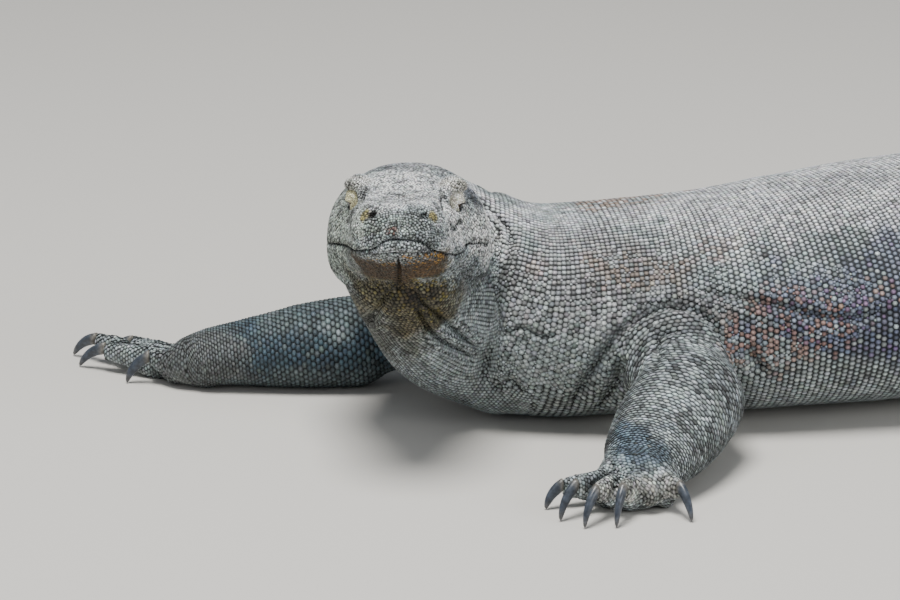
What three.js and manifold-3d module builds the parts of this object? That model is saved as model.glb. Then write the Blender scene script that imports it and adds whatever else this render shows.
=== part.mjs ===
// A komodo dragon (Varanus komodoensis) at life size, resting on its belly with its head raised.
// Millimetres, +Z up. The floor is z = 0, and the origin lies on it under the middle of the trunk.
// The tail runs towards +X and the neck towards -X. The animal's left side faces -Y.

import * as THREE from 'three';
import { LoftGeometry } from 'three/addons/geometries/LoftGeometry.js';
import { mergeVertices } from 'three/addons/utils/BufferGeometryUtils.js';
import Module from 'manifold-3d';

const wasm = await Module();
wasm.setup();

// Driving dimensions.
const GAP = 0.3; // clearance between neighbouring pieces
const FLOOR_SINK = 3; // how far an underside is pressed flat against the floor
const HEAD_LENGTH = 205; // snout tip to the back of the skull
const EYE_RADIUS = 12;
const CLAW_WIDE = 4.6; // half-width at the root
const CLAW_DEEP = 6.4; // half-depth at the root
const CLAW_CURL = 0.9; // radians that it turns down between root and point
const CLAW_CLEAR = 0.8; // height of the point above the floor
const SLACK = 0.12; // how far a simplified face may stray

const SKIN = { color: 0x8c8f88, roughness: 0.82, metalness: 0 };
const HEAD_SKIN = { color: 0xa9aaa2, roughness: 0.8, metalness: 0 };
const CLAW_HORN = { color: 0x2f3438, roughness: 0.35, metalness: 0 };
const EYE_WET = { color: 0x2a2119, roughness: 0.08, metalness: 0 };

const degrees = THREE.MathUtils.degToRad;

// Tubes

// One cross-section: its centre, half-width, height above and depth below the centre,
// and how square it is (2 is an ellipse).
function station(x, y, z, wide, up, down, square = 2.2) {
  return { x, y, z, wide, up, down, square };
}

const centreOf = (s) => new THREE.Vector3(s.x, s.y, s.z);

// Smooth stations between the given ones: a Hermite curve through every field, whose knots are
// the distances along the centres.
function smoothed(stations, perSpan) {
  const knots = [0];
  for (let i = 1; i < stations.length; i++) {
    knots.push(knots[i - 1] + centreOf(stations[i]).distanceTo(centreOf(stations[i - 1])));
  }
  const slope = (field, i) => {
    const low = Math.max(i - 1, 0);
    const high = Math.min(i + 1, stations.length - 1);
    return (stations[high][field] - stations[low][field]) / (knots[high] - knots[low]);
  };
  const made = [];
  for (let i = 0; i < stations.length - 1; i++) {
    const span = knots[i + 1] - knots[i];
    for (let step = 0; step < perSpan; step++) {
      const t = step / perSpan;
      const ease = (3 - 2 * t) * t * t;
      const between = {};
      for (const field of Object.keys(stations[i])) {
        const straight = stations[i][field] * (1 - ease) + stations[i + 1][field] * ease;
        const bend = (1 - t) * slope(field, i) - t * slope(field, i + 1);
        between[field] = straight + span * t * (1 - t) * bend;
      }
      made.push(between);
    }
  }
  made.push({ ...stations.at(-1) });
  return made;
}

// The direction in which a run of stations goes at one of them.
function headingAt(run, i) {
  const before = centreOf(run[Math.max(i - 1, 0)]);
  const after = centreOf(run[Math.min(i + 1, run.length - 1)]);
  return after.sub(before).normalize();
}

// The points of a station's squared oval, in a plane across the heading.
function ovalRing(s, heading, sides, grow = 0) {
  const side = new THREE.Vector3(0, 0, 1).cross(heading).normalize();
  const top = heading.clone().cross(side);
  const rounded = (value) => Math.sign(value) * Math.abs(value) ** (2 / s.square);
  return Array.from({ length: sides }, (_, k) => {
    const angle = (2 * Math.PI * (k + 0.5)) / sides;
    const high = Math.sin(angle) > 0 ? s.up : s.down;
    return centreOf(s)
      .addScaledVector(side, (s.wide + grow) * rounded(Math.cos(angle)))
      .addScaledVector(top, (high + grow) * rounded(Math.sin(angle)));
  });
}

// Extra stations that close an end with a dome of the given depth.
function dome(run, depth, atEnd) {
  const from = atEnd ? run.at(-1) : run[0];
  const outward = headingAt(run, atEnd ? run.length - 1 : 0).multiplyScalar(atEnd ? 1 : -1);
  const caps = [0.6, 0.94].map((share) => {
    const shrink = Math.sqrt(1 - share * share);
    const { x, y, z } = centreOf(from).addScaledVector(outward, depth * share);
    return station(x, y, z, from.wide * shrink, from.up * shrink, from.down * shrink, from.square);
  });
  return atEnd ? [...run, ...caps] : [...caps.reverse(), ...run];
}

// Solids

function solidOf(geometry) {
  const bare = new THREE.BufferGeometry();
  bare.setAttribute('position', geometry.getAttribute('position'));
  bare.setIndex(geometry.getIndex());
  const merged = mergeVertices(bare, 1e-3);
  return new wasm.Manifold(new wasm.Mesh({
    numProp: 3,
    vertProperties: Float32Array.from(merged.attributes.position.array),
    triVerts: Uint32Array.from(merged.index.array),
  }));
}

const loftSolid = (rings) => solidOf(new LoftGeometry(rings, { capStart: true, capEnd: true }));

// A closed tube through a run of stations.
function tube(run, sides, { startDome = 0, endDome = 0, grow = 0, place = null } = {}) {
  let full = startDome ? dome(run, startDome, false) : run;
  full = endDome ? dome(full, endDome, true) : full;
  const rings = full.map((s, i) => ovalRing(s, headingAt(full, i), sides, grow));
  if (place) rings.flat().forEach((point) => point.applyMatrix4(place));
  return loftSolid(rings);
}

// The largest single body that a cut leaves.
const mainBody = (solid) => solid.decompose().sort((a, b) => b.volume() - a.volume())[0];

const belowFloor = (() => {
  const size = 8000;
  return solidOf(new THREE.BoxGeometry(size, size, size).translate(0, 0, -size / 2));
})();

// What is left of a solid beside its neighbours and above the floor.
function trimmed(solid, neighbours = []) {
  const rest = neighbours.reduce((left, other) => left.subtract(other), solid.subtract(belowFloor));
  return mainBody(rest).simplify(SLACK);
}

function meshOf(solid, name, look) {
  const { vertProperties, triVerts } = solid.getMesh();
  const geometry = new THREE.BufferGeometry();
  geometry.setAttribute('position', new THREE.BufferAttribute(Float32Array.from(vertProperties), 3));
  geometry.setIndex(new THREE.BufferAttribute(Uint32Array.from(triVerts), 1));
  geometry.computeVertexNormals();
  const mesh = new THREE.Mesh(geometry, new THREE.MeshStandardMaterial(look));
  mesh.name = name;
  return mesh;
}

// Neck, trunk and tail

// One centreline, from the bend of the neck to the tail tip.
const backbone = {
  neckBend: station(-426, 88, 136, 76, 76, 104),
  neckBase: station(-352, 64, 108, 112, 76, 108 + FLOOR_SINK, 2.4),
  shoulders: station(-282, 46, 101, 126, 81, 101 + FLOOR_SINK, 2.3),
  chest: station(-190, 22, 99, 138, 89, 99 + FLOOR_SINK),
  ribs: station(-90, 6, 101, 152, 96, 101 + FLOOR_SINK),
  belly: station(30, 0, 102, 168, 101, 102 + FLOOR_SINK),
  flank: station(175, 0, 100, 164, 100, 100 + FLOOR_SINK),
  loin: station(305, 0, 94, 136, 96, 94 + FLOOR_SINK),
  hips: station(400, 0, 86, 104, 88, 86 + FLOOR_SINK),
  vent: station(485, 4, 74, 77, 76, 74 + FLOOR_SINK),
  tailRoot: station(585, 20, 62, 57, 64, 62 + FLOOR_SINK),
  tailThick: station(740, 64, 52, 43, 52, 52 + FLOOR_SINK),
  tailMiddle: station(930, 128, 42, 32, 42, 42 + FLOOR_SINK),
  tailThin: station(1160, 172, 30, 22, 30, 30 + FLOOR_SINK),
  tailWhip: station(1420, 146, 18, 13, 18, 18 + FLOOR_SINK),
  tailTip: station(1680, 40, 7, 5, 7, 7 + FLOOR_SINK),
};
const BODY_SIDES = 18;
const NAPE_SIDES = 12;
const TAIL_SIDES = 14;
const RINGS_PER_SPAN = 2;

const bodyLengths = [
  { name: 'neck', from: 'neckBend', to: 'shoulders', sides: BODY_SIDES },
  { name: 'chest', from: 'shoulders', to: 'ribs', sides: BODY_SIDES },
  { name: 'abdomen', from: 'ribs', to: 'loin', sides: BODY_SIDES },
  { name: 'pelvis', from: 'loin', to: 'vent', sides: BODY_SIDES },
  { name: 'tail_root', from: 'vent', to: 'tailThick', sides: TAIL_SIDES },
  { name: 'tail_upper', from: 'tailThick', to: 'tailMiddle', sides: TAIL_SIDES },
  { name: 'tail_middle', from: 'tailMiddle', to: 'tailThin', sides: TAIL_SIDES },
  { name: 'tail_lower', from: 'tailThin', to: 'tailWhip', sides: TAIL_SIDES },
  { name: 'tail_tip', from: 'tailWhip', to: 'tailTip', sides: TAIL_SIDES },
];
const bodyNames = Object.keys(backbone);
const bodyRun = smoothed(Object.values(backbone), RINGS_PER_SPAN);

// One length of the body, drawn back by half the gap at each end, or grown all over.
function bodyLength({ from, to, sides }, grow = 0) {
  const first = bodyNames.indexOf(from) * RINGS_PER_SPAN;
  const last = bodyNames.indexOf(to) * RINGS_PER_SPAN;
  const rings = [];
  for (let i = first; i <= last; i++) {
    const heading = headingAt(bodyRun, i);
    const drawn = (GAP / 2 - grow) * (Number(i === first) - Number(i === last));
    const shift = heading.clone().multiplyScalar(drawn);
    rings.push(ovalRing(bodyRun[i], heading, sides, grow).map((point) => point.add(shift)));
  }
  return loftSolid(rings);
}

// Head

// The head's own frame: x forward along the mouth line, y to the animal's left, z up,
// with its origin on the mouth line under the back of the skull.
const headFrame = new THREE.Matrix4().compose(
  new THREE.Vector3(-468, 57, 167),
  new THREE.Quaternion().setFromEuler(new THREE.Euler(0, degrees(-20), degrees(245), 'ZYX')),
  new THREE.Vector3(1, 1, 1),
);
const HEAD_SIDES = 18;
const skullStations = [
  station(0, 0, 0, 63, 69, 56, 2.1),
  station(0.11 * HEAD_LENGTH, 0, 0, 72, 75, 56, 2.2),
  station(0.21 * HEAD_LENGTH, 0, 0, 73, 72, 52, 2.3),
  station(0.34 * HEAD_LENGTH, 0, 0, 66, 65, 46, 2.5),
  station(0.48 * HEAD_LENGTH, 0, 0, 56, 57, 40, 2.8),
  station(0.62 * HEAD_LENGTH, 0, 0, 50, 46, 36, 2.8),
  station(0.76 * HEAD_LENGTH, 0, 0, 46, 38, 31, 2.7),
  station(0.88 * HEAD_LENGTH, 0, 0, 41, 31, 25, 2.6),
  station(0.95 * HEAD_LENGTH, 0, 0, 33, 25, 19, 2.4),
];
const eyeCentre = { x: 0.5 * HEAD_LENGTH, y: 40, z: 36 };

// The ridge over an eye, on the side of the given sign.
function brow(side, grow) {
  const run = [
    station(0.35 * HEAD_LENGTH, 38 * side, 43, 9, 8, 9, 2),
    station(0.48 * HEAD_LENGTH, 41 * side, 49, 12, 12, 10, 2),
    station(0.61 * HEAD_LENGTH, 37 * side, 38, 9, 8, 9, 2),
  ];
  return tube(run, 8, { startDome: 10, endDome: 10, grow, place: headFrame });
}

function headSolid(grow = 0) {
  const shape = { startDome: 16, endDome: 11, grow, place: headFrame };
  return tube(smoothed(skullStations, 2), HEAD_SIDES, shape).add(brow(1, grow)).add(brow(-1, grow));
}

// A thin curved slab along the mouth line parts the lower jaw from the skull.
function mouthCut() {
  const reach = 200;
  const line = new THREE.SplineCurve([
    new THREE.Vector2(-60, 2),
    new THREE.Vector2(0.17 * HEAD_LENGTH, 0),
    new THREE.Vector2(0.42 * HEAD_LENGTH, -9),
    new THREE.Vector2(0.65 * HEAD_LENGTH, -13),
    new THREE.Vector2(0.92 * HEAD_LENGTH, -6),
    new THREE.Vector2(1.15 * HEAD_LENGTH, 8),
  ]).getPoints(9);
  const raised = (by) => line.map(({ x, y }) => new THREE.Vector2(x, y + by));
  const shape = new THREE.Shape([...raised(GAP), ...raised(-GAP).reverse()]);
  const slab = new THREE.ExtrudeGeometry(shape, { depth: reach, bevelEnabled: false });
  slab.rotateX(Math.PI / 2).translate(0, reach / 2, 0).applyMatrix4(headFrame);
  return solidOf(slab);
}

function eyeSolid(side, grow = 0) {
  const ball = new THREE.SphereGeometry(EYE_RADIUS + grow, 12, 8);
  ball.translate(eyeCentre.x, eyeCentre.y * side, eyeCentre.z).applyMatrix4(headFrame);
  return solidOf(ball);
}

// The throat hangs from under the lower jaw down to the front of the chest, the scruff carries
// the head back and down, and a dome rounds off the bend of the neck.
const throatStations = [
  station(-506, -16, 170, 54, 30, 42),
  station(-478, 18, 140, 54, 54, 58),
  station(-436, 44, 98, 57, 60, 68),
  station(-374, 44, 70, 68, 60, 70 + FLOOR_SINK),
];
const scruffStations = [
  station(-480, 34, 172, 56, 56, 66),
  station(-454, 72, 160, 66, 72, 82),
  station(-428, 98, 142, 68, 74, 96),
];
const napeSolid = (grow = 0) =>
  tube(smoothed(throatStations, 2), NAPE_SIDES, { startDome: 34, endDome: 36, grow })
    .add(tube(scruffStations, NAPE_SIDES, { startDome: 10, endDome: 40, grow }))
    .add(tube(bodyRun.slice(0, 2), BODY_SIDES, { startDome: 40, grow }));

// Limbs

const armFlesh = [[48, 46], [47, 46], [44, 44]];
const farArmFlesh = [[50, 48], [46, 44], [38, 37]];
const forearmFlesh = [[49, 51], [50, 50], [48, 44], [42, 34]];
const farForearmFlesh = [[44, 43], [42, 40], [36, 34], [31, 28]];
const thighFlesh = [[60, 60], [64, 62], [54, 53], [43, 43]];
const shankFlesh = [[49, 48], [48, 45], [38, 35], [28, 26]];

// Each limb: shoulder or hip, elbow or knee, wrist or ankle, the half-width and half-height of
// the flesh along its two bones, and its foot. A toe is the direction and distance from the
// wrist or ankle to the point of its claw, the height of the claw's root and the claw's length.
const limbs = [
  {
    upper: 'upper_arm_left', lower: 'forearm_left', foot: 'hand_left', claw: 'claw_hand_left',
    joints: [[-264, -40, 98], [-276, -138, 58], [-352, -210, 36]],
    flesh: [armFlesh, forearmFlesh],
    palm: { aim: 214, length: 34, wide: 45 },
    toes: [
      [178, 94, 21, 26],
      [197, 98, 30, 35],
      [213, 97, 30, 35],
      [228, 83, 30, 35],
      [278, 74, 27, 34],
    ],
  },
  {
    upper: 'upper_arm_right', lower: 'forearm_right', foot: 'hand_right', claw: 'claw_hand_right',
    joints: [[-352, 130, 92], [-478, 172, 42], [-611, 219, 28]],
    flesh: [farArmFlesh, farForearmFlesh],
    palm: { aim: 130, length: 30, wide: 36 },
    toes: [
      [153, 74, 27, 35],
      [134, 133, 22, 36],
      [124, 156, 22, 36],
      [113, 128, 19, 32],
      [70, 84, 18, 30],
    ],
  },
  {
    upper: 'thigh_left', lower: 'shank_left', foot: 'foot_left', claw: 'claw_foot_left',
    joints: [[392, -50, 88], [286, -198, 74], [408, -262, 32]],
    flesh: [thighFlesh, shankFlesh],
    palm: { aim: 222, length: 58, wide: 40 },
    toes: [
      [190, 106, 22, 32],
      [206, 136, 22, 34],
      [219, 162, 22, 35],
      [233, 180, 22, 34],
      [284, 108, 20, 30],
    ],
  },
  {
    upper: 'thigh_right', lower: 'shank_right', foot: 'foot_right', claw: 'claw_foot_right',
    joints: [[392, 50, 88], [310, 206, 72], [448, 262, 32]],
    flesh: [thighFlesh, shankFlesh],
    palm: { aim: 136, length: 58, wide: 40 },
    toes: [
      [168, 106, 22, 32],
      [152, 136, 22, 34],
      [139, 162, 22, 35],
      [125, 180, 22, 34],
      [74, 108, 20, 30],
    ],
  },
];
const LIMB_SIDES = 11;
const TOE_SIDES = 6;
const TOE_END = { wide: 9.5, high: 10.5, below: 3 };

// A straight run of flesh between two joints.
function boneRun(from, to, flesh) {
  return flesh.map(([wide, high], i) => {
    const { x, y, z } = new THREE.Vector3(...from).lerp(
      new THREE.Vector3(...to), i / (flesh.length - 1));
    return station(x, y, z, wide, high, high, 2);
  });
}

const upperLimb = ({ joints, flesh }, grow = 0) =>
  tube(boneRun(joints[0], joints[1], flesh[0]), LIMB_SIDES, { startDome: 20, endDome: 36, grow });
const lowerLimb = ({ joints, flesh }, grow = 0) =>
  tube(boneRun(joints[1], joints[2], flesh[1]), LIMB_SIDES, { startDome: 40, endDome: 14, grow });

// The point on the floor plan at a direction and distance from a joint.
function awayFrom(joint, direction, distance) {
  const angle = degrees(direction);
  return [joint[0] + distance * Math.cos(angle), joint[1] + distance * Math.sin(angle)];
}

// A toe leaves the palm, presses on its pad, then arches up to the root of its claw.
function toeSolid(ankle, [direction, tip, rise, clawLength], palm, grow) {
  const end = tip - clawCurve(rise, clawLength).reach;
  const along = (share) => palm * 0.4 + (end - palm * 0.4) * share;
  const run = [
    [along(0), 21, 12, 13, 13],
    [along(0.4), 0.5 * rise + 8, 12.5, 14, 0.5 * rise + 8 + FLOOR_SINK],
    [along(0.8), rise - TOE_END.below, 11, 12, 12],
    [along(1), rise - TOE_END.below, TOE_END.wide, TOE_END.high, TOE_END.high],
  ].map(([distance, height, wide, up, down]) =>
    station(...awayFrom(ankle, direction, distance), height, wide, up, down, 2.2));
  return tube(run, TOE_SIDES, { grow });
}

function footSolid({ joints, palm, toes }, grow = 0) {
  const ankle = joints[2];
  const run = [
    station(...awayFrom(ankle, palm.aim, -6), ankle[2], palm.wide - 6, 30, 32),
    station(...awayFrom(ankle, palm.aim, 0.45 * palm.length), 26, palm.wide, 23, 26 + FLOOR_SINK),
    station(...awayFrom(ankle, palm.aim, palm.length), 20, palm.wide - 4, 16, 20 + FLOOR_SINK),
  ];
  const palmSolid = tube(run, LIMB_SIDES, { startDome: 12, endDome: 12, grow });
  return toes.reduce((foot, toe) => foot.add(toeSolid(ankle, toe, palm.length, grow)), palmSolid);
}

// How steeply a claw must leave a toe of the given rise for its point to meet the floor, and how
// far ahead that point then lies. The claw is an arc: its drop is its chord times the sine of the
// chord's slope.
function clawCurve(rise, length) {
  const chord = (2 * length * Math.sin(CLAW_CURL / 2)) / CLAW_CURL;
  const slope = Math.asin((rise - CLAW_CLEAR) / chord);
  return { dip: slope - CLAW_CURL / 2, reach: chord * Math.cos(slope) };
}

// A claw: a narrow horn that bends down from the toe's end and tapers to its point.
function clawMesh(name, ankle, [direction, tip, rise, length]) {
  const { dip, reach } = clawCurve(rise, length);
  const steps = 4;
  const sides = 6;
  const rings = [];
  let x = GAP;
  let z = 0;
  for (let i = 0; i <= steps; i++) {
    const t = i / steps;
    const bend = dip + CLAW_CURL * t;
    const taper = 0.05 + 0.95 * Math.sqrt(1 - t);
    rings.push(Array.from({ length: sides }, (_, k) => {
      const angle = (2 * Math.PI * (k + 0.5)) / sides;
      const lean = bend * Math.min(1, 2.5 * t); // the root stands square to the toe
      const high = CLAW_DEEP * taper * Math.sin(angle);
      const wide = CLAW_WIDE * taper * Math.cos(angle);
      return new THREE.Vector3(x + high * Math.sin(lean), wide, z + high * Math.cos(lean));
    }));
    const middle = bend + CLAW_CURL / steps / 2;
    x += (length / steps) * Math.cos(middle);
    z -= (length / steps) * Math.sin(middle);
  }
  const claw = meshOf(loftSolid(rings), name, CLAW_HORN);
  claw.position.set(...awayFrom(ankle, direction, tip - reach), rise);
  claw.rotation.z = degrees(direction);
  return claw;
}

// Assembly

const dragon = new THREE.Group();

function addHead() {
  const eyes = [1, -1].map((side) => eyeSolid(side, GAP));
  const [skull, jaw] = headSolid().subtract(mouthCut()).decompose()
    .sort((a, b) => b.volume() - a.volume());
  dragon.add(meshOf(trimmed(skull, eyes), 'head', HEAD_SKIN));
  dragon.add(meshOf(jaw.simplify(SLACK), 'lower_jaw', HEAD_SKIN));
  dragon.add(meshOf(eyeSolid(1), 'eye_left', EYE_WET));
  dragon.add(meshOf(eyeSolid(-1), 'eye_right', EYE_WET));
}

function addBody() {
  const [neck, ...others] = bodyLengths;
  const wholeNeck = bodyLength(neck).add(napeSolid());
  const chest = bodyLength(others[0], GAP);
  dragon.add(meshOf(trimmed(wholeNeck, [headSolid(GAP), chest]), neck.name, SKIN));
  for (const part of others) {
    dragon.add(meshOf(trimmed(bodyLength(part)), part.name, SKIN));
  }
}

function addLimbs() {
  const bodyParts = bodyLengths.slice(0, 5).map((part) => bodyLength(part, GAP));
  bodyParts.push(napeSolid(GAP));
  for (const limb of limbs) {
    const upper = trimmed(upperLimb(limb), [...bodyParts, lowerLimb(limb, GAP)]);
    const lower = trimmed(lowerLimb(limb), bodyParts);
    const foot = trimmed(footSolid(limb), [lowerLimb(limb, GAP)]);
    dragon.add(meshOf(upper, limb.upper, SKIN));
    dragon.add(meshOf(lower, limb.lower, SKIN));
    dragon.add(meshOf(foot, limb.foot, SKIN));
    limb.toes.forEach((toe, i) => {
      dragon.add(clawMesh(`${limb.claw}_${i + 1}`, limb.joints[2], toe));
    });
  }
}

addHead();
addBody();
addLimbs();

export default dragon;
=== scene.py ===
# A komodo dragon at rest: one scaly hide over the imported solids, with lids, eyes and claws. Metres, +Z up.
import math

import bmesh
import bpy
import numpy as np
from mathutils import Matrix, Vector
from mathutils.bvhtree import BVHTree
from mathutils.kdtree import KDTree


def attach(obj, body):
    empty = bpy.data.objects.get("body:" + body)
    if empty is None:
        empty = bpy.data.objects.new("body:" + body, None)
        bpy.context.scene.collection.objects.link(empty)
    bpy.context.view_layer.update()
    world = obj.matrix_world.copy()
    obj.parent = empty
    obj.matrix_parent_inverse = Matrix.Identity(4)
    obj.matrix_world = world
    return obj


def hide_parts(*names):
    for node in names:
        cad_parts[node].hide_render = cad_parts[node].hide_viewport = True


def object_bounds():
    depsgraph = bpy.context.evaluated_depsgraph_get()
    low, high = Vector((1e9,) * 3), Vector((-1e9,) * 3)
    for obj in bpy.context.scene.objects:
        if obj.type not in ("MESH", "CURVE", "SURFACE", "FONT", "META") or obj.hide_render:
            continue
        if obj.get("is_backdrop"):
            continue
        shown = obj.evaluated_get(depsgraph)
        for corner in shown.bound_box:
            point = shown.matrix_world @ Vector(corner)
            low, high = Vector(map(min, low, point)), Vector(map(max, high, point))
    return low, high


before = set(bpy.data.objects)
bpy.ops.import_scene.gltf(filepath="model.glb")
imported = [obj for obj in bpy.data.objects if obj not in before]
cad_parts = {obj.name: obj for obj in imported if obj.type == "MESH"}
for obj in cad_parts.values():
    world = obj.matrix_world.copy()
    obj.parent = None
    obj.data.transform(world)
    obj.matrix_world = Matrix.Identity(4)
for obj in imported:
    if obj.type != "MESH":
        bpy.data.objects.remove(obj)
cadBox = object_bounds()
mm = 0.001
cadLow, cadHigh = (np.array(corner) for corner in cadBox)

# Shapes: stations along a run are x, y, z, half-width, height above and depth below the centre, squareness
stationUnit = np.array([mm] * 6 + [1.0])


# Stations in millimetres made a table in metres, each with a squareness of 2.2 where none is given.
def runOf(stations):
    rows = [list(s) + [2.2] * (7 - len(s)) for s in stations]
    return np.array(rows, float) * stationUnit


# A Hermite curve through every column of the stations, with knots at the distances along the centres.
def smoothRun(run, perSpan):
    steps = np.linalg.norm(np.diff(run[:, :3], axis=0), axis=1)
    knots = np.concatenate([[0], np.cumsum(steps)])
    low = np.maximum(np.arange(len(run)) - 1, 0)
    high = np.minimum(np.arange(len(run)) + 1, len(run) - 1)
    slope = (run[high] - run[low]) / (knots[high] - knots[low])[:, None]
    t = (np.arange(perSpan) / perSpan)[None, :, None]
    ease = (3 - 2 * t) * t * t
    bend = (1 - t) * slope[:-1, None] - t * slope[1:, None]
    curve = run[:-1, None] * (1 - ease) + run[1:, None] * ease
    curve = curve + steps[:, None, None] * t * (1 - t) * bend
    return np.vstack([curve.reshape(-1, run.shape[1]), run[-1:]])


# The way ahead at each station: the next centre less the one before, at a length of 1.
def headingsOf(run):
    centre = run[:, :3]
    ahead = centre[np.minimum(np.arange(len(run)) + 1, len(run) - 1)]
    behind = centre[np.maximum(np.arange(len(run)) - 1, 0)]
    return (ahead - behind) / np.linalg.norm(ahead - behind, axis=1)[:, None]


# A run with its ends rounded: further stations whose size is the root of one less their share squared.
def domed(run, startDepth=0.0, endDepth=0.0, rings=7):
    share = np.sin(np.linspace(0, 0.5 * math.pi, rings + 1)[1:] * 0.985)
    heading = headingsOf(run)
    parts = [run]
    for depth, row, way in ((startDepth, 0, -1), (endDepth, -1, 1)):
        if depth:
            cap = np.repeat(run[[row]], rings, axis=0)
            cap[:, :3] += way * heading[row] * (depth * share)[:, None]
            cap[:, 3:6] *= np.sqrt(1 - share**2)[:, None]
            parts = [cap[::-1], *parts] if row == 0 else [*parts, cap]
    return np.vstack(parts)


# Squared ovals round a run: the centre, plus side * half-width * cos a and top * height * sin a, where cos a
# and sin a are raised to the power of 2 / squareness.
def ringsOf(run, sides, grow=0.0):
    heading = headingsOf(run)
    side = np.cross([0.0, 0.0, 1.0], heading)
    side /= np.linalg.norm(side, axis=1)[:, None]
    top = np.cross(heading, side)
    angle = 2 * math.pi * (np.arange(sides) + 0.5) / sides
    power = 2 / run[:, 6:7]
    across = np.sign(np.cos(angle)) * np.abs(np.cos(angle)) ** power * (run[:, 3:4] + grow)
    high = np.where(np.sin(angle) > 0, run[:, 4:5], run[:, 5:6]) + grow
    rise = np.sign(np.sin(angle)) * np.abs(np.sin(angle)) ** power * high
    return run[:, None, :3] + across[..., None] * side[:, None] + rise[..., None] * top[:, None]


# Points carried from a frame to the world: turned by its matrix, then moved by its origin.
def placed(points, place):
    return points @ place[:3, :3].T + place[:3, 3]


# The faces of a closed grid of rings: quads between rings, and a fan to a middle point at each end.
def closedGrid(rings):
    count, sides = rings.shape[:2]
    j = np.arange(sides)
    k = (j + 1) % sides
    first = np.arange(count - 1)[:, None] * sides
    quads = np.stack([first + j, first + k, first + k + sides, first + j + sides], -1).reshape(-1, 4)
    points = np.vstack([rings.reshape(-1, 3), rings[0].mean(0), rings[-1].mean(0)])
    low = count * sides
    high = low + 1
    last = (count - 1) * sides
    fans = np.vstack([
        np.stack([np.full(sides, low), k, j], 1),
        np.stack([np.full(sides, high), last + j, last + k], 1),
    ])
    return points, quads, fans


# A mesh object from points and any number of face arrays, each array of one face size.
def meshFrom(name, points, *faceArrays):
    mesh = bpy.data.meshes.new(name)
    sizes = np.concatenate([np.full(len(f), f.shape[1]) for f in faceArrays])
    corners = np.concatenate([f.ravel() for f in faceArrays])
    mesh.vertices.add(len(points))
    mesh.vertices.foreach_set("co", np.ascontiguousarray(points, np.float32).ravel())
    mesh.loops.add(len(corners))
    mesh.loops.foreach_set("vertex_index", corners.astype(np.int32))
    mesh.polygons.add(len(sizes))
    mesh.polygons.foreach_set("loop_start", np.concatenate([[0], np.cumsum(sizes)[:-1]]).astype(np.int32))
    mesh.polygons.foreach_set("use_smooth", np.ones(len(sizes), bool))
    mesh.update(calc_edges=True)
    made = bpy.data.objects.new(name, mesh)
    bpy.context.scene.collection.objects.link(made)
    return made


# A mesh's points.
def pointsOf(mesh):
    return rowsFrom(mesh.vertices, "co")


# The directions that a mesh's surface faces at its points.
def normalsOf(mesh):
    return rowsFrom(mesh.vertex_normals, "vector")


# One x, y, z row for each item of a mesh's list.
def rowsFrom(source, key):
    flat = np.empty(len(source) * 3, np.float32)
    source.foreach_get(key, flat)
    return flat.reshape(-1, 3).astype(float)


# Puts moved points back in their mesh.
def movePoints(mesh, points):
    mesh.vertices.foreach_set("co", np.ascontiguousarray(points, np.float32).ravel())
    mesh.update()


# From 0 at low to 1 at high along t * t * (3 - 2 * t), flat at both ends.
def smoothStep(low, high, value):
    t = np.clip((value - low) / (high - low), 0, 1)
    return t * t * (3 - 2 * t)


# Value noise: random numbers on a cubic lattice, blended smoothly between its corners, from -1 to 1.
def latticeNoise(points, size, seed):
    cell = np.floor(points / size).astype(np.int64)
    part = points / size - cell
    part = part * part * (3 - 2 * part)
    total = np.zeros(len(points))
    for corner in np.ndindex(2, 2, 2):
        key = (cell + corner) @ np.array([73856093, 19349663, 83492791]) + seed * 2654435761
        key = ((key ^ (key >> 13)) * 1274126177) & 0x7FFFFFFF
        key = ((key ^ (key >> 15)) * 668265263) & 0x7FFFFFFF
        weight = np.where(np.array(corner), part, 1 - part).prod(1)
        total += weight * (key / 0x3FFFFFFF - 1)
    return total


# The body, in millimetres: neck, trunk and tail on one line, then the throat and scruff
floorSink = 3
body = {
    "backbone": [
        (-426, 88, 136, 76, 76, 104), (-352, 64, 108, 112, 76, 111, 2.4),
        (-282, 46, 101, 126, 81, 104, 2.3), (-190, 22, 99, 138, 89, 102),
        (-90, 6, 101, 152, 96, 104), (30, 0, 102, 168, 101, 105),
        (175, 0, 100, 164, 100, 103), (305, 0, 94, 136, 96, 97), (400, 0, 86, 104, 88, 89),
        (485, 4, 74, 77, 76, 77), (585, 20, 62, 57, 64, 65), (740, 64, 52, 43, 52, 55),
        (930, 128, 42, 32, 42, 45), (1160, 172, 30, 22, 30, 33), (1420, 146, 18, 13, 18, 21),
        (1680, 40, 7, 5, 7, 10),
    ],
    "throat": [(-506, -16, 170, 54, 30, 42), (-478, 18, 140, 54, 54, 58), (-436, 44, 98, 57, 60, 68),
               (-374, 44, 70, 68, 60, 73)],
    "scruff": [(-480, 34, 172, 56, 56, 66), (-454, 72, 160, 66, 72, 82), (-428, 98, 142, 68, 74, 96)],
    "skinDepth": 1.3,  # how far the hide lies inside the tips of its scales
}
headLength = 205
head = {
    "at": (-468, 57, 167),
    "turn": 245,
    "nod": -20,
    "skull": [
        (0, 0, 0, 63, 69, 56, 2.1), (0.11, 0, 0, 72, 75, 56, 2.2), (0.21, 0, 0, 73, 72, 52, 2.3),
        (0.34, 0, 0, 66, 65, 46, 2.5), (0.48, 0, 0, 56, 57, 40, 2.8), (0.62, 0, 0, 50, 46, 36, 2.8),
        (0.76, 0, 0, 46, 38, 31, 2.7), (0.88, 0, 0, 41, 31, 25, 2.6), (0.95, 0, 0, 33, 25, 19, 2.4),
    ],
    "brow": [(0.35, 38, 43, 9, 8, 9, 2), (0.48, 41, 49, 12, 12, 10, 2), (0.61, 37, 38, 9, 8, 9, 2)],
    "eye": (0.5, 40, 36),
    "eyeRadius": 12,
}
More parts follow.
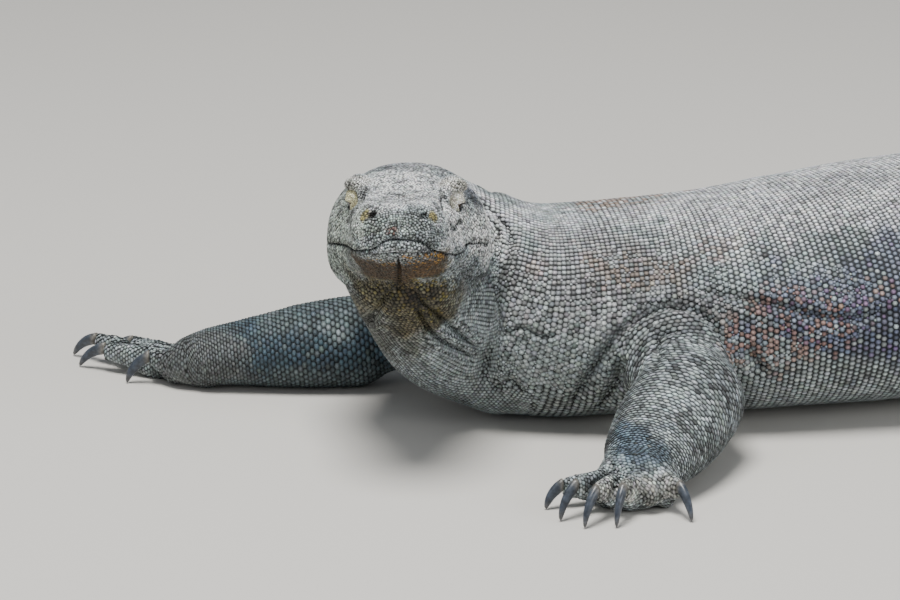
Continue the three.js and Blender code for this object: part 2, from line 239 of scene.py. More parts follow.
limbs = {
    "arm_left": {
        "nodes": ("upper_arm_left", "forearm_left", "hand_left", "claw_hand_left"),
        "joints": [(-264, -40, 98), (-276, -138, 58), (-352, -210, 36)],
        "upper": [(48, 46), (47, 46), (44, 44)],
        "lower": [(49, 51), (50, 50), (48, 44), (42, 34)],
        "palm": (214, 34, 45),
        "toes": [(178, 94, 21, 26), (197, 98, 30, 35), (213, 97, 30, 35), (228, 83, 30, 35),
                 (278, 74, 27, 34)],
    },
    "arm_right": {
        "nodes": ("upper_arm_right", "forearm_right", "hand_right", "claw_hand_right"),
        "joints": [(-352, 130, 92), (-478, 172, 42), (-611, 219, 28)],
        "upper": [(50, 48), (46, 44), (38, 37)],
        "lower": [(44, 43), (42, 40), (36, 34), (31, 28)],
        "palm": (130, 30, 36),
        "toes": [(153, 74, 27, 35), (134, 133, 22, 36), (124, 156, 22, 36), (113, 128, 19, 32),
                 (70, 84, 18, 30)],
    },
    "leg_left": {
        "nodes": ("thigh_left", "shank_left", "foot_left", "claw_foot_left"),
        "joints": [(392, -50, 88), (286, -198, 74), (408, -262, 32)],
        "upper": [(60, 60), (64, 62), (54, 53), (43, 43)],
        "lower": [(49, 48), (48, 45), (38, 35), (28, 26)],
        "palm": (222, 58, 40),
        "toes": [(190, 106, 22, 32), (206, 136, 22, 34), (219, 162, 22, 35), (233, 180, 22, 34),
                 (284, 108, 20, 30)],
    },
    "leg_right": {
        "nodes": ("thigh_right", "shank_right", "foot_right", "claw_foot_right"),
        "joints": [(392, 50, 88), (310, 206, 72), (448, 262, 32)],
        "upper": [(60, 60), (64, 62), (54, 53), (43, 43)],
        "lower": [(49, 48), (48, 45), (38, 35), (28, 26)],
        "palm": (136, 58, 40),
        "toes": [(168, 106, 22, 32), (152, 136, 22, 34), (139, 162, 22, 35), (125, 180, 22, 34),
                 (74, 108, 20, 30)],
    },
}
claw = {"wide": 4.6, "deep": 6.4, "curl": 0.9, "clear": 0.8, "gap": 0.3}


# The matrix that turns points about the upright axis by an angle in degrees.
def uprightTurn(degrees):
    turn = math.radians(degrees)
    return np.array([[math.cos(turn), -math.sin(turn), 0], [math.sin(turn), math.cos(turn), 0], [0, 0, 1]])


# The head's frame: x forward, y to the animal's left, z up; first nodded about y, then turned about z.
def headPlace():
    nod = math.radians(head["nod"])
    dip = np.array([[math.cos(nod), 0, math.sin(nod)], [0, 1, 0], [-math.sin(nod), 0, math.cos(nod)]])
    place = np.eye(4)
    place[:3, :3] = uprightTurn(head["turn"]) @ dip
    place[:3, 3] = np.array(head["at"]) * mm
    return place


toRow = headPlace()
toHead = np.linalg.inv(toRow)


# The head's stations give their x as a share of its length.
def alongHead(stations):
    return runOf([(s[0] * headLength, *s[1:]) for s in stations])


# A straight run of flesh between two joints, its sizes evenly spread along it.
def boneRun(start, end, flesh):
    share = np.linspace(0, 1, len(flesh))[:, None]
    centre = np.array(start) * (1 - share) + np.array(end) * share
    size = np.array(flesh, float)
    return np.hstack([centre, size, size[:, 1:], np.full((len(flesh), 1), 2.0)]) * stationUnit


# A claw is an arc, so its drop is its chord times the sine of the chord's slope.
def clawCurve(rise, length):
    chord = 2 * length * math.sin(claw["curl"] / 2) / claw["curl"]
    slope = math.asin((rise - claw["clear"]) / chord)
    return slope - claw["curl"] / 2, chord * math.cos(slope)


# The point at a distance from a joint along a compass direction in degrees, level with the floor.
def awayFrom(joint, direction, distance):
    angle = math.radians(direction)
    return joint[0] + distance * math.cos(angle), joint[1] + distance * math.sin(angle)


# A toe runs straight from inside the palm to where its claw begins, and drops to the claw's height.
def toeRun(ankle, toe, palmLength):
    direction, tip, rise, length = toe
    end = tip - clawCurve(rise, length)[1]
    root = palmLength * 0.4
    rows = [
        (0, 21, 12, 13, 13), (0.4, 0.5 * rise + 8, 12.5, 14, 0.5 * rise + 11),
        (0.8, rise - 3, 11, 12, 12), (1, rise - 3, 9.5, 10.5, 10.5),
    ]
    ways = [root + (end - root) * row[0] for row in rows]
    return runOf([(*awayFrom(ankle, direction, way), *row[1:]) for way, row in zip(ways, rows)])


# A palm runs straight from the ankle along its aim, flattening, with its underside just below the floor.
def palmRun(ankle, palm):
    aim, length, wide = palm
    return runOf([
        (*awayFrom(ankle, aim, -6), ankle[2], wide - 6, 30, 32),
        (*awayFrom(ankle, aim, 0.45 * length), 26, wide, 23, 26 + floorSink),
        (*awayFrom(ankle, aim, length), 20, wide - 4, 16, 20 + floorSink),
    ])


tubeKinds = {  # rings between two stations, and how far each end is domed
    "head": (8, 16, 11),
    "throat": (16, 34, 36),
    "scruff": (12, 10, 40),
    "body": (20, 40, 2),
    "brow": (4, 10, 10),
    "upper": (10, 20, 36),
    "lower": (10, 40, 14),
    "palm": (8, 12, 12),
    "toe": (8, 0, 0),
}


# A tube of flesh: a smooth run with domed ends, and the place of its frame where it has one.
def tubeOf(kind, run, place=None):
    perSpan, start, end = tubeKinds[kind]
    return domed(smoothRun(run, perSpan), start * mm, end * mm), place


# Every tube of flesh by its name.
def fleshTubes():
    tubes = {
        "head": tubeOf("head", alongHead(head["skull"]), toRow),
        "throat": tubeOf("throat", runOf(body["throat"])),
        "scruff": tubeOf("scruff", runOf(body["scruff"])),
        "body": tubeOf("body", runOf(body["backbone"])),
    }
    for side in (1, -1):
        rows = [(x, y * side, *rest) for x, y, *rest in head["brow"]]
        tubes[f"brow{side}"] = tubeOf("brow", alongHead(rows), toRow)
    for name, limb in limbs.items():
        top, bend, ankle = limb["joints"]
        tubes[name + "_upper"] = tubeOf("upper", boneRun(top, bend, limb["upper"]))
        tubes[name + "_lower"] = tubeOf("lower", boneRun(bend, ankle, limb["lower"]))
        tubes[name + "_palm"] = tubeOf("palm", palmRun(ankle, limb["palm"]))
        for i, toe in enumerate(limb["toes"]):
            tubes[f"{name}_toe{i + 1}"] = tubeOf("toe", toeRun(ankle, toe, limb["palm"][1]))
    return tubes


tubes = fleshTubes()
print("flesh runs:", len(tubes))


# The hide: every tube joined, welded into one surface, relaxed where limbs and neck meet the trunk
hide = {
    "sides": 96,
    "smallSides": 32,
    "weld": 2.8,  # size of the cells that weld the tubes into one
    "slim": {"toe": 0.66, "palm": 0.82},  # shares of their width, so that the weld leaves the toes apart
    "relaxEverywhere": 3,
    "handMiddle": (60, 25),  # how far past the ankle the middle of a hand or foot lies, and how high
    "relaxHands": (120, 0.5, 6),  # how far round that, how strongly, and how many rounds after the folds
    "finishedPoints": 94000,
    "soften": [  # where, how far round it, and how many rounds of relaxing
        ((-262, -70, 88), 100, 30), ((-352, 150, 70), 100, 30),  # shoulders
        ((385, -100, 88), 110, 28), ((385, 100, 88), 110, 28),  # hips
        ((-276, -138, 62), 75, 14), ((-478, 172, 42), 60, 12),  # elbows
        ((286, -198, 74), 70, 12), ((310, 206, 74), 70, 12),  # knees
        ((-430, 60, 130), 120, 34), ((-370, 40, 60), 90, 28), ((-440, 90, 180), 80, 34),  # neck
        ((-352, -210, 46), 60, 16), ((-611, 219, 38), 50, 14),  # wrists
        ((408, -262, 42), 60, 14), ((448, 262, 42), 60, 14),  # ankles
    ],
}


# A tube's rings in the world, its half-width times its share where its kind is made slim.
def tubeRings(name, sides):
    run, place = tubes[name]
    for kind, share in hide["slim"].items():
        if kind in name:
            run = run * [1, 1, 1, share, 1, 1, 1]
    rings = ringsOf(run, sides, -body["skinDepth"] * mm)
    return rings if place is None else placed(rings, place)


# All the tubes in one mesh: each tube's faces count on from the points before it.
def joinedTubes():
    allPoints, allQuads, allFans, start = [], [], [], 0
    for name in tubes:
        small = "toe" in name or "brow" in name
        points, quads, fans = closedGrid(tubeRings(name, hide["smallSides"] if small else hide["sides"]))
        allPoints.append(points)
        allQuads.append(quads + start)
        allFans.append(fans + start)
        start += len(points)
    points = np.vstack(allPoints)
    points[:, 2] = np.maximum(points[:, 2], 0)
    return meshFrom("flesh", points, np.vstack(allQuads), np.vstack(allFans))


# An object's mesh with its modifiers applied, smooth all over.
def appliedMesh(source):
    bpy.context.view_layer.update()
    mesh = bpy.data.meshes.new_from_object(source.evaluated_get(bpy.context.evaluated_depsgraph_get()))
    if "sharp_face" in mesh.attributes:
        mesh.attributes.remove(mesh.attributes["sharp_face"])
    mesh.polygons.foreach_set("use_smooth", np.ones(len(mesh.polygons), bool))
    return mesh


# The outer surface of overlapping tubes, found in cubes of one size.
def welded(source, cell):
    modifier = source.modifiers.new("weld", "REMESH")
    modifier.mode = "VOXEL"
    modifier.voxel_size = cell
    made = bpy.data.objects.new("hide", appliedMesh(source))
    bpy.data.objects.remove(source)
    bpy.context.scene.collection.objects.link(made)
    return made


# Each point moves towards the mean of its neighbours, by its own weight, once a round.
def relax(points, edges, weight, rounds):
    count = np.bincount(edges.ravel(), minlength=len(points))[:, None]
    for _ in range(rounds):
        total = np.stack([
            np.bincount(edges[:, 0], points[edges[:, 1], k], len(points))
            + np.bincount(edges[:, 1], points[edges[:, 0], k], len(points))
            for k in range(3)
        ], 1)
        points = points + weight * (total / count - points)
    return points


# The two point numbers of each edge.
def edgesOf(mesh):
    flat = np.empty(len(mesh.edges) * 2, np.int32)
    mesh.edges.foreach_get("vertices", flat)
    return flat.reshape(-1, 2)


# The hide's normals averaged over their neighbours, so that scales lie evenly over small creases.
def softened(mesh, rounds=4):
    normals = relax(normalsOf(mesh), edgesOf(mesh), 0.7, rounds)
    return normals / np.linalg.norm(normals, axis=1)[:, None]


# Relaxes the whole hide a little, and round each soft place by a weight that fades with distance.
def relaxHide(skin):
    points = pointsOf(skin.data)
    edges = edgesOf(skin.data)
    points = relax(points, edges, 0.5, hide["relaxEverywhere"])
    for at, reach, rounds in hide["soften"]:
        far = np.linalg.norm(points - np.array(at) * mm, axis=1) / (reach * mm)
        weight = 0.6 * (1 - smoothStep(0.5, 1, far))[:, None]
        points = relax(points, edges, weight, rounds)
    points[:, 2] = np.maximum(points[:, 2], 0)
    movePoints(skin.data, points)


# Splits the edges of the faces whose middles a test picks.
def finer(skin, pick):
    work = bmesh.new()
    work.from_mesh(skin.data)
    work.faces.ensure_lookup_table()
    middles = np.array([f.calc_center_median() for f in work.faces])
    chosen = np.flatnonzero(pick(middles))
    edges = list({e for i in chosen for e in work.faces[i].edges})
    bmesh.ops.subdivide_edges(work, edges=edges, cuts=1, use_grid_fill=True)
    work.to_mesh(skin.data)
    work.free()


skin = welded(joinedTubes(), hide["weld"] * mm)
print("hide welded:", len(skin.data.vertices), "points")
relaxHide(skin)
finer(skin, lambda p: placed(p, toHead)[:, 0] > -0.005)
print("hide with a finer head:", len(skin.data.vertices), "points")


# Distance from each point to a line of straight legs, and how far along it that is, from 0 to 1.
def nearLine(points, line):
    legs = np.diff(line, axis=0)
    lengths = np.linalg.norm(legs, axis=1)
    starts = np.concatenate([[0], np.cumsum(lengths)])
    best = np.full(len(points), np.inf)
    share = np.zeros(len(points))
    for i, leg in enumerate(legs):
        if lengths[i] == 0:
            continue
        t = np.clip((points - line[i]) @ leg / lengths[i] ** 2, 0, 1)
        far = np.linalg.norm(points - line[i] - t[:, None] * leg, axis=1)
        closer = far < best
        best = np.where(closer, far, best)
        share = np.where(closer, (starts[i] + t * lengths[i]) / starts[-1], share)
    return best, share


# A smooth line through points: each leg a cubic whose end slopes come from the points either side.
def curveThrough(points, perLeg=6):
    run = np.hstack([np.array(points, float), np.zeros((len(points), 1))])
    return smoothRun(run, perLeg)[:, :3] if len(points) > 2 else run[:, :3]


# A bell: e to the power of minus the square of distance over width.
def bell(distance, width):
    return np.exp(-((distance / width) ** 2))


# A mesh's faces sorted for finding the nearest.
def treeOf(mesh):
    return BVHTree.FromPolygons(pointsOf(mesh).tolist(), [p.vertices[:] for p in mesh.polygons])


# The nearest place on the hide to each point.
def onSurface(points, tree):
    return np.array([tree.find_nearest(Vector(p))[0][:] for p in points])


# Folds of the hide, in millimetres: points, depth, half-width, and the height of the roll beside it
folds = {
    "throatFar": ([(-525, -45, 167), (-532, -34, 147), (-530, 0, 121), (-526, 19, 110)], 5, 4, 1.5),
    "throatNear": ([(-511, -53, 169), (-499, -53, 150), (-458, -26, 110), (-424, -13, 79)], 6, 3.6, 2.2),
    "throatInner": ([(-510, -54, 156), (-503, -48, 143), (-481, -30, 111), (-429, -12, 73)], 6, 3.6, 2.2),
    "chin": ([(-546, -111, 212), (-538, -94, 197), (-520, -49, 161)], 3.4, 1.8, 0.8),
    "neckValley": ([(-405, 14, 178), (-415, -17, 113), (-424, -12, 62), (-423, -4, 45)], 6, 7, 2),
    "neckCrease": ([(-411, -23, 98), (-397, -32, 108), (-385, -41, 102), (-368, -50, 102)], 3, 2.4, 0.9),
    "gularCrease": ([(-416, -6, 41), (-403, -22, 56), (-391, -26, 44)], 3, 2.4, 0.8),
    "armArch": ([(-352, -20, 17), (-337, -63, 73), (-314, -74, 110), (-273, -86, 128), (-244, -102, 115),
                 (-232, -120, 88), (-240, -154, 72)], 5, 4.5, 2),
    "armpit": ([(-325, -40, 18), (-320, -49, 35), (-315, -67, 61), (-314, -80, 84)], 6, 5, 2),
    "elbow": ([(-321, -150, 95), (-296, -108, 110), (-273, -118, 114)], 3.5, 4, 1.5),
    "flank": ([(-246, -88, 142), (-174, -121, 125), (-140, -134, 116), (-78, -149, 119)], 3, 5, 1.5),
    "behindArm": ([(-215, -120, 96), (-206, -140, 60), (-214, -136, 28)], 4, 5, 2),
    "groinLeft": ([(330, -118, 110), (305, -138, 80), (300, -142, 40)], 4, 6, 2),
    "groinRight": ([(330, 118, 110), (305, 138, 80), (300, 142, 40)], 4, 6, 2),
    "armpitFar": ([(-300, 130, 130), (-270, 140, 90), (-275, 136, 40)], 4, 6, 2),
    "scruff": ([(-385, 150, 170), (-372, 130, 190), (-372, 90, 196)], 3, 6, 1.5),
}


cleft = {
    "widest": 30,  # toes that spread further apart, in degrees, have none
    "start": 36,  # the least distance from the ankle
    "short": 26,  # how far the end lies behind the tip of the shorter toe
    "heights": (44, 36, 24),
    "fold": (7.5, 3.4, 0.4),  # depth, half-width and roll
}


# The clefts between neighbouring toes run over the top of the palm, midway between the toes.
def addClefts():
    for name, limb in limbs.items():
        ankle = limb["joints"][2]
        toes = sorted(limb["toes"])
        start = max(0.55 * limb["palm"][1] + 4, cleft["start"])
        for i, (first, second) in enumerate(zip(toes[:-1], toes[1:])):
            if second[0] - first[0] < cleft["widest"]:
                aim = (first[0] + second[0]) / 2
                end = min(first[1], second[1]) - cleft["short"]
                ways = (start, (start + end) / 2, end)
                line = [(*awayFrom(ankle, aim, way), z) for way, z in zip(ways, cleft["heights"])]
                folds[f"{name}_cleft{i}"] = (line, *cleft["fold"])


addClefts()
foldCurves = {}  # each fold's curve as it lies on the hide, kept for the colours and the scales


# Along a fold the hide sinks by a bell of its depth, with a lower bell on either side for the rolls.
def foldRelief(points, tree):
    relief = np.zeros(len(points))
    for name, (line, depth, width, roll) in folds.items():
        curve = onSurface(curveThrough(line) * mm, tree)
        foldCurves[name] = (curve, width)
        reach = 5 * width * mm
        inside = ((points > curve.min(0) - reach) & (points < curve.max(0) + reach)).all(1)
        far, share = nearLine(points[inside], curve)
        fade = np.clip(np.minimum(share, 1 - share) * 5, 0, 1) ** 0.7
        sink = -depth * bell(far, width * mm) + roll * bell(far - 2.3 * width * mm, 1.3 * width * mm)
        relief[inside] += fade * sink
    return relief * mm


# The face, in the head's frame in millimetres: the mouth has a line for each side, and the rest is the same
# on both sides, apart from what stays on its own side
face = {
    "mouth": {
        "left": [(38, 73, 2), (73, 64, 0), (102, 55, -3), (122, 50, -12), (150, 45, -14), (176, 38, -14),
                 (192, 31, -13), (198, 25, -8), (202, 19, -5.5), (204, 6, -4), (204, 0, -3.5)],
        "right": [(38, -73, 0), (73, -64, -2), (102, -55, -5), (130, -48, -7), (160, -40, -10),
                  (184, -32, -12), (195, -24, -12.5), (199, -18.5, -10), (202, -14, -7), (204, -7, -4.5),
                  (204, 0, -3.5)],
    },
    "mouthDepth": 3.8,
    "mouthWidth": 1.5,
    "lips": (5.5, 3.4, 1.6, 1.1),  # distance from the mouth, half-width, heights of the upper and the lower
    "nostril": (196, 23, 18),
    "nostrilRim": (6.5, 2.4, 1.6),  # distance from the middle, half-width, height
    "nostrilHole": (4.0, 9.0),  # half-width, depth
    # A line's points, height (below 0 it is a groove), half-width, how fast its ends fade, how wide its
    # painted shade is, and whether it stays on its own side
    "lines": {
        "canthus": ([(128, 33, 50), (140, 35, 45), (168, 31, 36), (186, 25, 29)], 2.4, 6, 0, 0, False),
        "browRidge": ([(84, 52, 52), (100, 54, 50), (113, 47, 50), (122, 34, 49)], 3.4, 4.6, 4, 0, False),
        "pouch": ([(128, 33, 42), (152, 38, 30), (161, 42, 18), (148, 47, 10), (131, 50, 12),
                   (110, 52, 18)], -6.0, 2.6, 6, 2.8, False),
        "headEdge": ([(14, 74, -34), (4, 76, -6), (0, 74, 26), (-2, 58, 56)], -5.5, 4.0, 5, 5.5, False),
        "nape": ([(-16, 88, -34), (-14, 83, -2), (-12, 77, 24), (-10, 69, 42), (-6, 58, 58)],
                 -4.5, 4.5, 5, 5, False),
        "chinGroove": ([(196, 0, -19), (190, 0, -23), (170, -1, -30), (140, -3, -37), (105, -5, -45)],
                       -2.4, 1.4, 0, 1.5, True),
        "lipGroove": ([(188, 36, -15), (197, 22, -16), (201, 2, -16), (198, -12, -15), (192, -22, -13)],
                      -1.8, 1.6, 4, 1.7, True),
    },
    # how wide the painted shade along the mouth is
    "mouthShadeWidth": 1.7,
    "swellings": [  # height (below 0 it is a hollow), place, reach, and whether it stays on its own side
        (2.8, (128, 51, -5), (17, 10, 8), True),  # the left lip hangs over the corner of the jaw
        (2.4, (62, 68, 26), 26, False),  # temple
        (2.2, (52, 66, -26), (24, 20, 20), False),  # jaw muscle
        (-6.5, (120, 47, 35), (14, 11, 13), False),  # hollow in front of the eye
        (-2.2, (152, 42, 27), 10, False),
        (-2.6, (165, 0, 36), (18, 13, 14), False),  # top of the snout
        (-1.4, (118, 0, 60), 20, False),
        (1.6, (190, 14, 24), (10, 9, 8), False),  # behind the nostrils
        (2.6, (136, 44, 22), 9, False),  # the pouch under the eye
        (2.0, (203, 3, -10), (8, 20, 4), True),  # the lower lip
        (-3.0, (10, 72, 8), 5, False),  # the ear
    ],
}
faceCurves = {}  # the face's lines as they lie on the hide, with the widths of their painted shade and whether one-sided


# The lids are one ball round each eye with a slit, in degrees about the line through the eye's corners
lids = {
    "radius": 12.8,
    "bed": 9,  # radius of the hollow in the hide behind them
    "wall": 0.9,
    "corners": (36, 146),
    "above": 20,
    "below": 19,
    "tilt": -27,
    "wrinkle": 0.5,
    "grain": (1.5, 1.3, 0.26, 1.0, 0.0),
    "colors": {"left": (1.0, 0.97, 0.82), "right": (0.85, 0.80, 0.50)},
}


# Both sides of the head laid on the left one, by the size of y.
def mirrored(points):
    return np.stack([points[:, 0], np.abs(points[:, 1]), points[:, 2]], 1)


# The face's relief adds up, for each line and each swelling, its height times a bell of the distance to it.
def faceRelief(points, tree):
    own = placed(points, toHead) / mm
    both = mirrored(own)
    x = own[:, 0]

    # the line laid on the hide, then how far from it each point is and how far along it
    def near(name, line, dark, oneSided):
        curve = placed(onSurface(placed(curveThrough(line) * mm, toRow), tree), toHead) / mm
        faceCurves[name] = (curve, dark, oneSided)
        return nearLine(own if oneSided else both, curve)

    relief = np.zeros(len(points))
    apart, wide, upper, lower = face["lips"]
    for side, sign in (("left", 1), ("right", -1)):
        line = face["mouth"][side]
        far, share = near("mouth_" + side, line, face["mouthShadeWidth"], True)
        front = smoothStep(0, 0.12, share) * (sign * own[:, 1] > -2)
        level = np.interp(x, [p[0] for p in line[:-2]], [p[2] for p in line[:-2]])
        relief -= face["mouthDepth"] * front * bell(far, face["mouthWidth"])
        relief += front * np.where(own[:, 2] > level, upper, lower) * bell(far - apart, wide)
    for height, at, reach, oneSided in face["swellings"]:
        far = np.linalg.norm(((own if oneSided else both) - np.array(at)) / reach, axis=1)
        relief += height * bell(far, 1)
    for name, (line, height, width, fading, dark, oneSided) in face["lines"].items():
        far, share = near(name, line, dark, oneSided)
        fade = np.clip(np.minimum(share, 1 - share) * fading, 0, 1) if fading else 1
        relief += height * fade * bell(far, width)
    far = np.linalg.norm(both - np.array(face["nostril"]), axis=1)
    away, wide, high = face["nostrilRim"]
    hole, deep = face["nostrilHole"]
    relief += high * bell(far - away, wide) - deep * bell(far, hole)
    return relief * mm * (x > -30)


slack = [  # height, size in metres, shares of x, y and z, seed
    (1.3, 0.06, (1.0, 0.6, 0.5), 3),
    (0.5, 0.022, (1.0, 0.45, 0.35), 7),
]


# Muscle and slack off the head: two sizes of soft noise, stretched down the sides, each times its height.
def slackRelief(points):
    calm = 1 - smoothStep(0.0, 0.03, placed(points, toHead)[:, 0])
    uneven = sum(high * latticeNoise(points * shares, size, seed) for high, size, shares, seed in slack)
    return calm * uneven * mm


# The hide sinks to a smaller ball wherever it would lie inside the lids.
def lidRelief(points):
    h = placed(points, toHead) / mm
    x, y, z = head["eye"]
    eyes = np.stack([np.full(len(h), x * headLength), np.where(h[:, 1] > 0, y, -y), np.full(len(h), z)], 1)
    out = h - eyes
    far = np.linalg.norm(out, axis=1)
    sunk = far < lids["radius"] - 0.5
    h[sunk] = eyes[sunk] + out[sunk] / far[sunk, None] * lids["bed"]
    return placed(h * mm, toRow)


tree = treeOf(skin.data)
points = pointsOf(skin.data)
normals = softened(skin.data, 2)
relief = foldRelief(points, tree) + faceRelief(points, tree) + slackRelief(points)
points = points + normals * relief[:, None]
points = lidRelief(points)
reach, weight, rounds = hide["relaxHands"]
past, high = hide["handMiddle"]
for limb in limbs.values():
    middle = np.array([*awayFrom(limb["joints"][2], limb["palm"][0], past), high]) * mm
    far = np.linalg.norm(points - middle, axis=1) / (reach * mm)
    points = relax(points, edgesOf(skin.data), weight * (1 - smoothStep(0.7, 1, far))[:, None], rounds)
points[:, 2] = np.maximum(points[:, 2], 0)
movePoints(skin.data, points)
print("folds and face worked in")

# Colours of the hide, the same for skin and scales: a ground, then soft-edged patches in millimetres, some
# of which are painted light and some painted shade
tones = {
    "ground": (0.335, 0.385, 0.40),
    "patches": [  # centre, reach, colour, strength, share of the scales that take it
        ((-330, -60, 160), (120, 110, 76), (0.31, 0.32, 0.335), 0.85, 1),  # behind the neck
        ((-330, -90, 165), (110, 80, 34), (0.27, 0.19, 0.14), 0.65, 0.6),
        ((-370, -40, 60), (110, 80, 60), (0.26, 0.30, 0.30), 0.7, 1),
        ((-480, 190, 40), (290, 130, 130), (0.07, 0.10, 0.11), 0.92, 1),  # painted shade on the stretched foreleg, bluish, here and on the next line
        ((-520, 190, 44), (110, 100, 30), (0.03, 0.065, 0.10), 0.75, 0.85),
        ((-650, 190, 30), (70, 90, 70), (0.13, 0.14, 0.14), 0.8, 1),  # painted shade on its hand
        ((-373, -229, 62), (42, 50, 36), (0.09, 0.14, 0.19), 0.9, 0.95),  # the near wrist
        ((-388, -290, 25), (70, 60, 30), (0.46, 0.46, 0.42), 0.75, 1),  # the near fingers
        ((-522, -10, 120), (60, 60, 80), (0.12, 0.125, 0.10), 0.8, 1),  # painted shade under the throat
    ],
    "flankPatches": [  # the same, on both sides
        ((-30, 0, 215), (700, 170, 75), (0.70, 0.72, 0.76), 0.9, 1),  # the back, pale with painted light from above
        ((-30, -150, 130), (270, 100, 74), (0.17, 0.20, 0.28), 0.85, 0.9),  # the flank
        ((-60, -150, 105), (190, 90, 34), (0.09, 0.11, 0.19), 0.8, 0.6),
        ((-250, -90, 178), (70, 60, 26), (0.32, 0.19, 0.12), 0.7, 0.5),
        ((-175, -120, 105), (85, 60, 50), (0.30, 0.16, 0.12), 0.75, 0.4),
        ((-60, -150, 140), (80, 60, 26), (0.33, 0.20, 0.14), 0.7, 0.22),
        ((-60, -150, 120), (180, 90, 60), (0.16, 0.10, 0.24), 0.7, 0.12),
    ],
    "facePatches": [  # the same, in the head's frame
        ((110, 0, 30), (130, 90, 60), (0.80, 0.84, 0.865), 0.95, 1),  # the whole face
        ((70, 66, 12), (80, 40, 38), (0.95, 1.0, 1.0), 0.95, 1),  # painted light on the left cheek
        ((70, -62, 6), (80, 40, 60), (0.36, 0.42, 0.37), 0.8, 1),  # painted shade on the right cheek, greenish
        # painted shade on the right of the snout
        ((185, -20, 4), (30, 24, 9), (0.30, 0.35, 0.30), 0.7, 1),
        ((20, 0, 70), (60, 64, 34), (0.20, 0.22, 0.24), 0.75, 0.75),  # the back of the head
        ((66, 60, 44), (30, 20, 20), (0.10, 0.12, 0.16), 0.85, 0.85),
        # painted shade on the right side of the face
        ((150, -50, 6), (80, 30, 44), (0.44, 0.50, 0.44), 0.7, 1),
        ((200, 0, 8), (16, 36, 15), (0.44, 0.52, 0.49), 0.7, 1),
        ((140, 0, -54), (130, 74, 46), (0.12, 0.105, 0.055), 0.92, 1),  # the chin and its stain
        ((140, 14, -44), (80, 66, 36), (0.18, 0.145, 0.03), 0.8, 0.3),
        ((166, 2, -38), (66, 62, 32), (0.088, 0.046, 0.016), 0.93, 0.88),
        ((190, 14, -24), (34, 34, 15), (0.36, 0.18, 0.03), 0.9, 0.16),
        ((186, -22, -27), (28, 24, 12), (0.27, 0.17, 0.04), 0.85, 0.14),
        ((184, 34, -18), (20, 10, 6), (0.46, 0.25, 0.05), 0.9, 0.35),
        ((201, 7, -12), (14, 27, 6), (0.40, 0.44, 0.46), 0.95, 1),  # the lower lip
        ((204, -4, 3), (8, 9, 6), (0.19, 0.065, 0.045), 0.8, 0.6),  # the upper lip
        ((190, 30, 18), (10, 6, 8), (0.30, 0.25, 0.07), 0.9, 1),  # the rims of the nostrils
        ((190, -30, 18), (10, 6, 8), (0.30, 0.25, 0.07), 0.9, 1),
        # painted shade inside the nostrils
        ((196, 23, 18), (8, 6, 6), (0.008, 0.007, 0.006), 1, 1),
        ((196, -23, 18), (8, 6, 6), (0.008, 0.007, 0.006), 1, 1),
        ((110, 44, 50), (28, 17, 9), (1.0, 0.98, 0.90), 0.95, 1),  # brows
        ((110, -44, 50), (28, 17, 9), (0.95, 0.96, 0.90), 0.95, 1),
    ],
    "mottle": [(0.16, 0.05, 11), (0.14, 0.014, 12)],  # strength, size in metres and seed of each noise
    "faceMottle": [(0.48, 0.017, 15), (0.45, 0.006, 16)],
    "darkest": 0.12,
    "creases": 0.86,  # how much the painted shade darkens the bottom of a fold
    "speckles": (0.18, 0.62),  # share of the scales of the face that are darker, and by how much
}


# How deep in a fold or a line of the face each point lies, which sets the painted shade there: a bell of its
# distance to the nearest of them.
def creaseOf(points):
    deep = np.zeros(len(points))
    for curve, width in foldCurves.values():
        inside = ((points > curve.min(0) - 0.02) & (points < curve.max(0) + 0.02)).all(1)
        far, share = nearLine(points[inside], curve)
        edge = np.clip(np.minimum(share, 1 - share) * 5, 0, 1)
        deep[inside] = np.maximum(deep[inside], edge * bell(far, 0.8 * width * mm))
    own = placed(points, toHead) / mm
    onHead = own[:, 0] > -30
    for curve, width, oneSided in faceCurves.values():
        if width:
            at = own[onHead] if oneSided else mirrored(own[onHead])
            deep[onHead] = np.maximum(deep[onHead], bell(nearLine(at, curve)[0], width))
    return deep


# Noises of several sizes added up, each times its strength.
def noises(points, layers):
    return sum(strength * latticeNoise(points, size, seed) for strength, size, seed in layers)


# Each patch is an ellipsoid whose edge is broken by noise; grain, one number a scale, picks who takes it.
def toneOf(points, grain):
    color = np.repeat(np.array([tones["ground"]]), len(points), axis=0)
    edge = 0.34 * latticeNoise(points, 0.022, 13) + 0.2 * latticeNoise(points, 0.009, 14)
    local = placed(points, toHead)
    folded = np.stack([points[:, 0], -np.abs(points[:, 1]), points[:, 2]], 1)
    places = ((folded, tones["flankPatches"]), (points, tones["patches"]), (local, tones["facePatches"]))
    for at, patches in places:
        for centre, reach, tint, strength, taken in patches:
            far = np.linalg.norm((at / mm - np.array(centre)) / np.array(reach), axis=1)
            soft = edge if min(reach) > 12 else 0.3 * edge
            weight = strength * (1 - smoothStep(0.55, 1.0, far + soft)) * (grain < taken)
            color = color * (1 - weight[:, None]) + np.array(tint) * weight[:, None]
    onFace = smoothStep(0.01, 0.05, local[:, 0])
    mottle = 1 + noises(points, tones["mottle"]) + onFace * noises(points, tones["faceMottle"])
    # painted shade in the folds and along the lines of the face
    mottle *= 1 - tones["creases"] * creaseOf(points)
    share, dark = tones["speckles"]
    mottle *= 1 - dark * onFace * (grain > 1 - share)
    return color * np.maximum(mottle, tones["darkest"])[:, None]


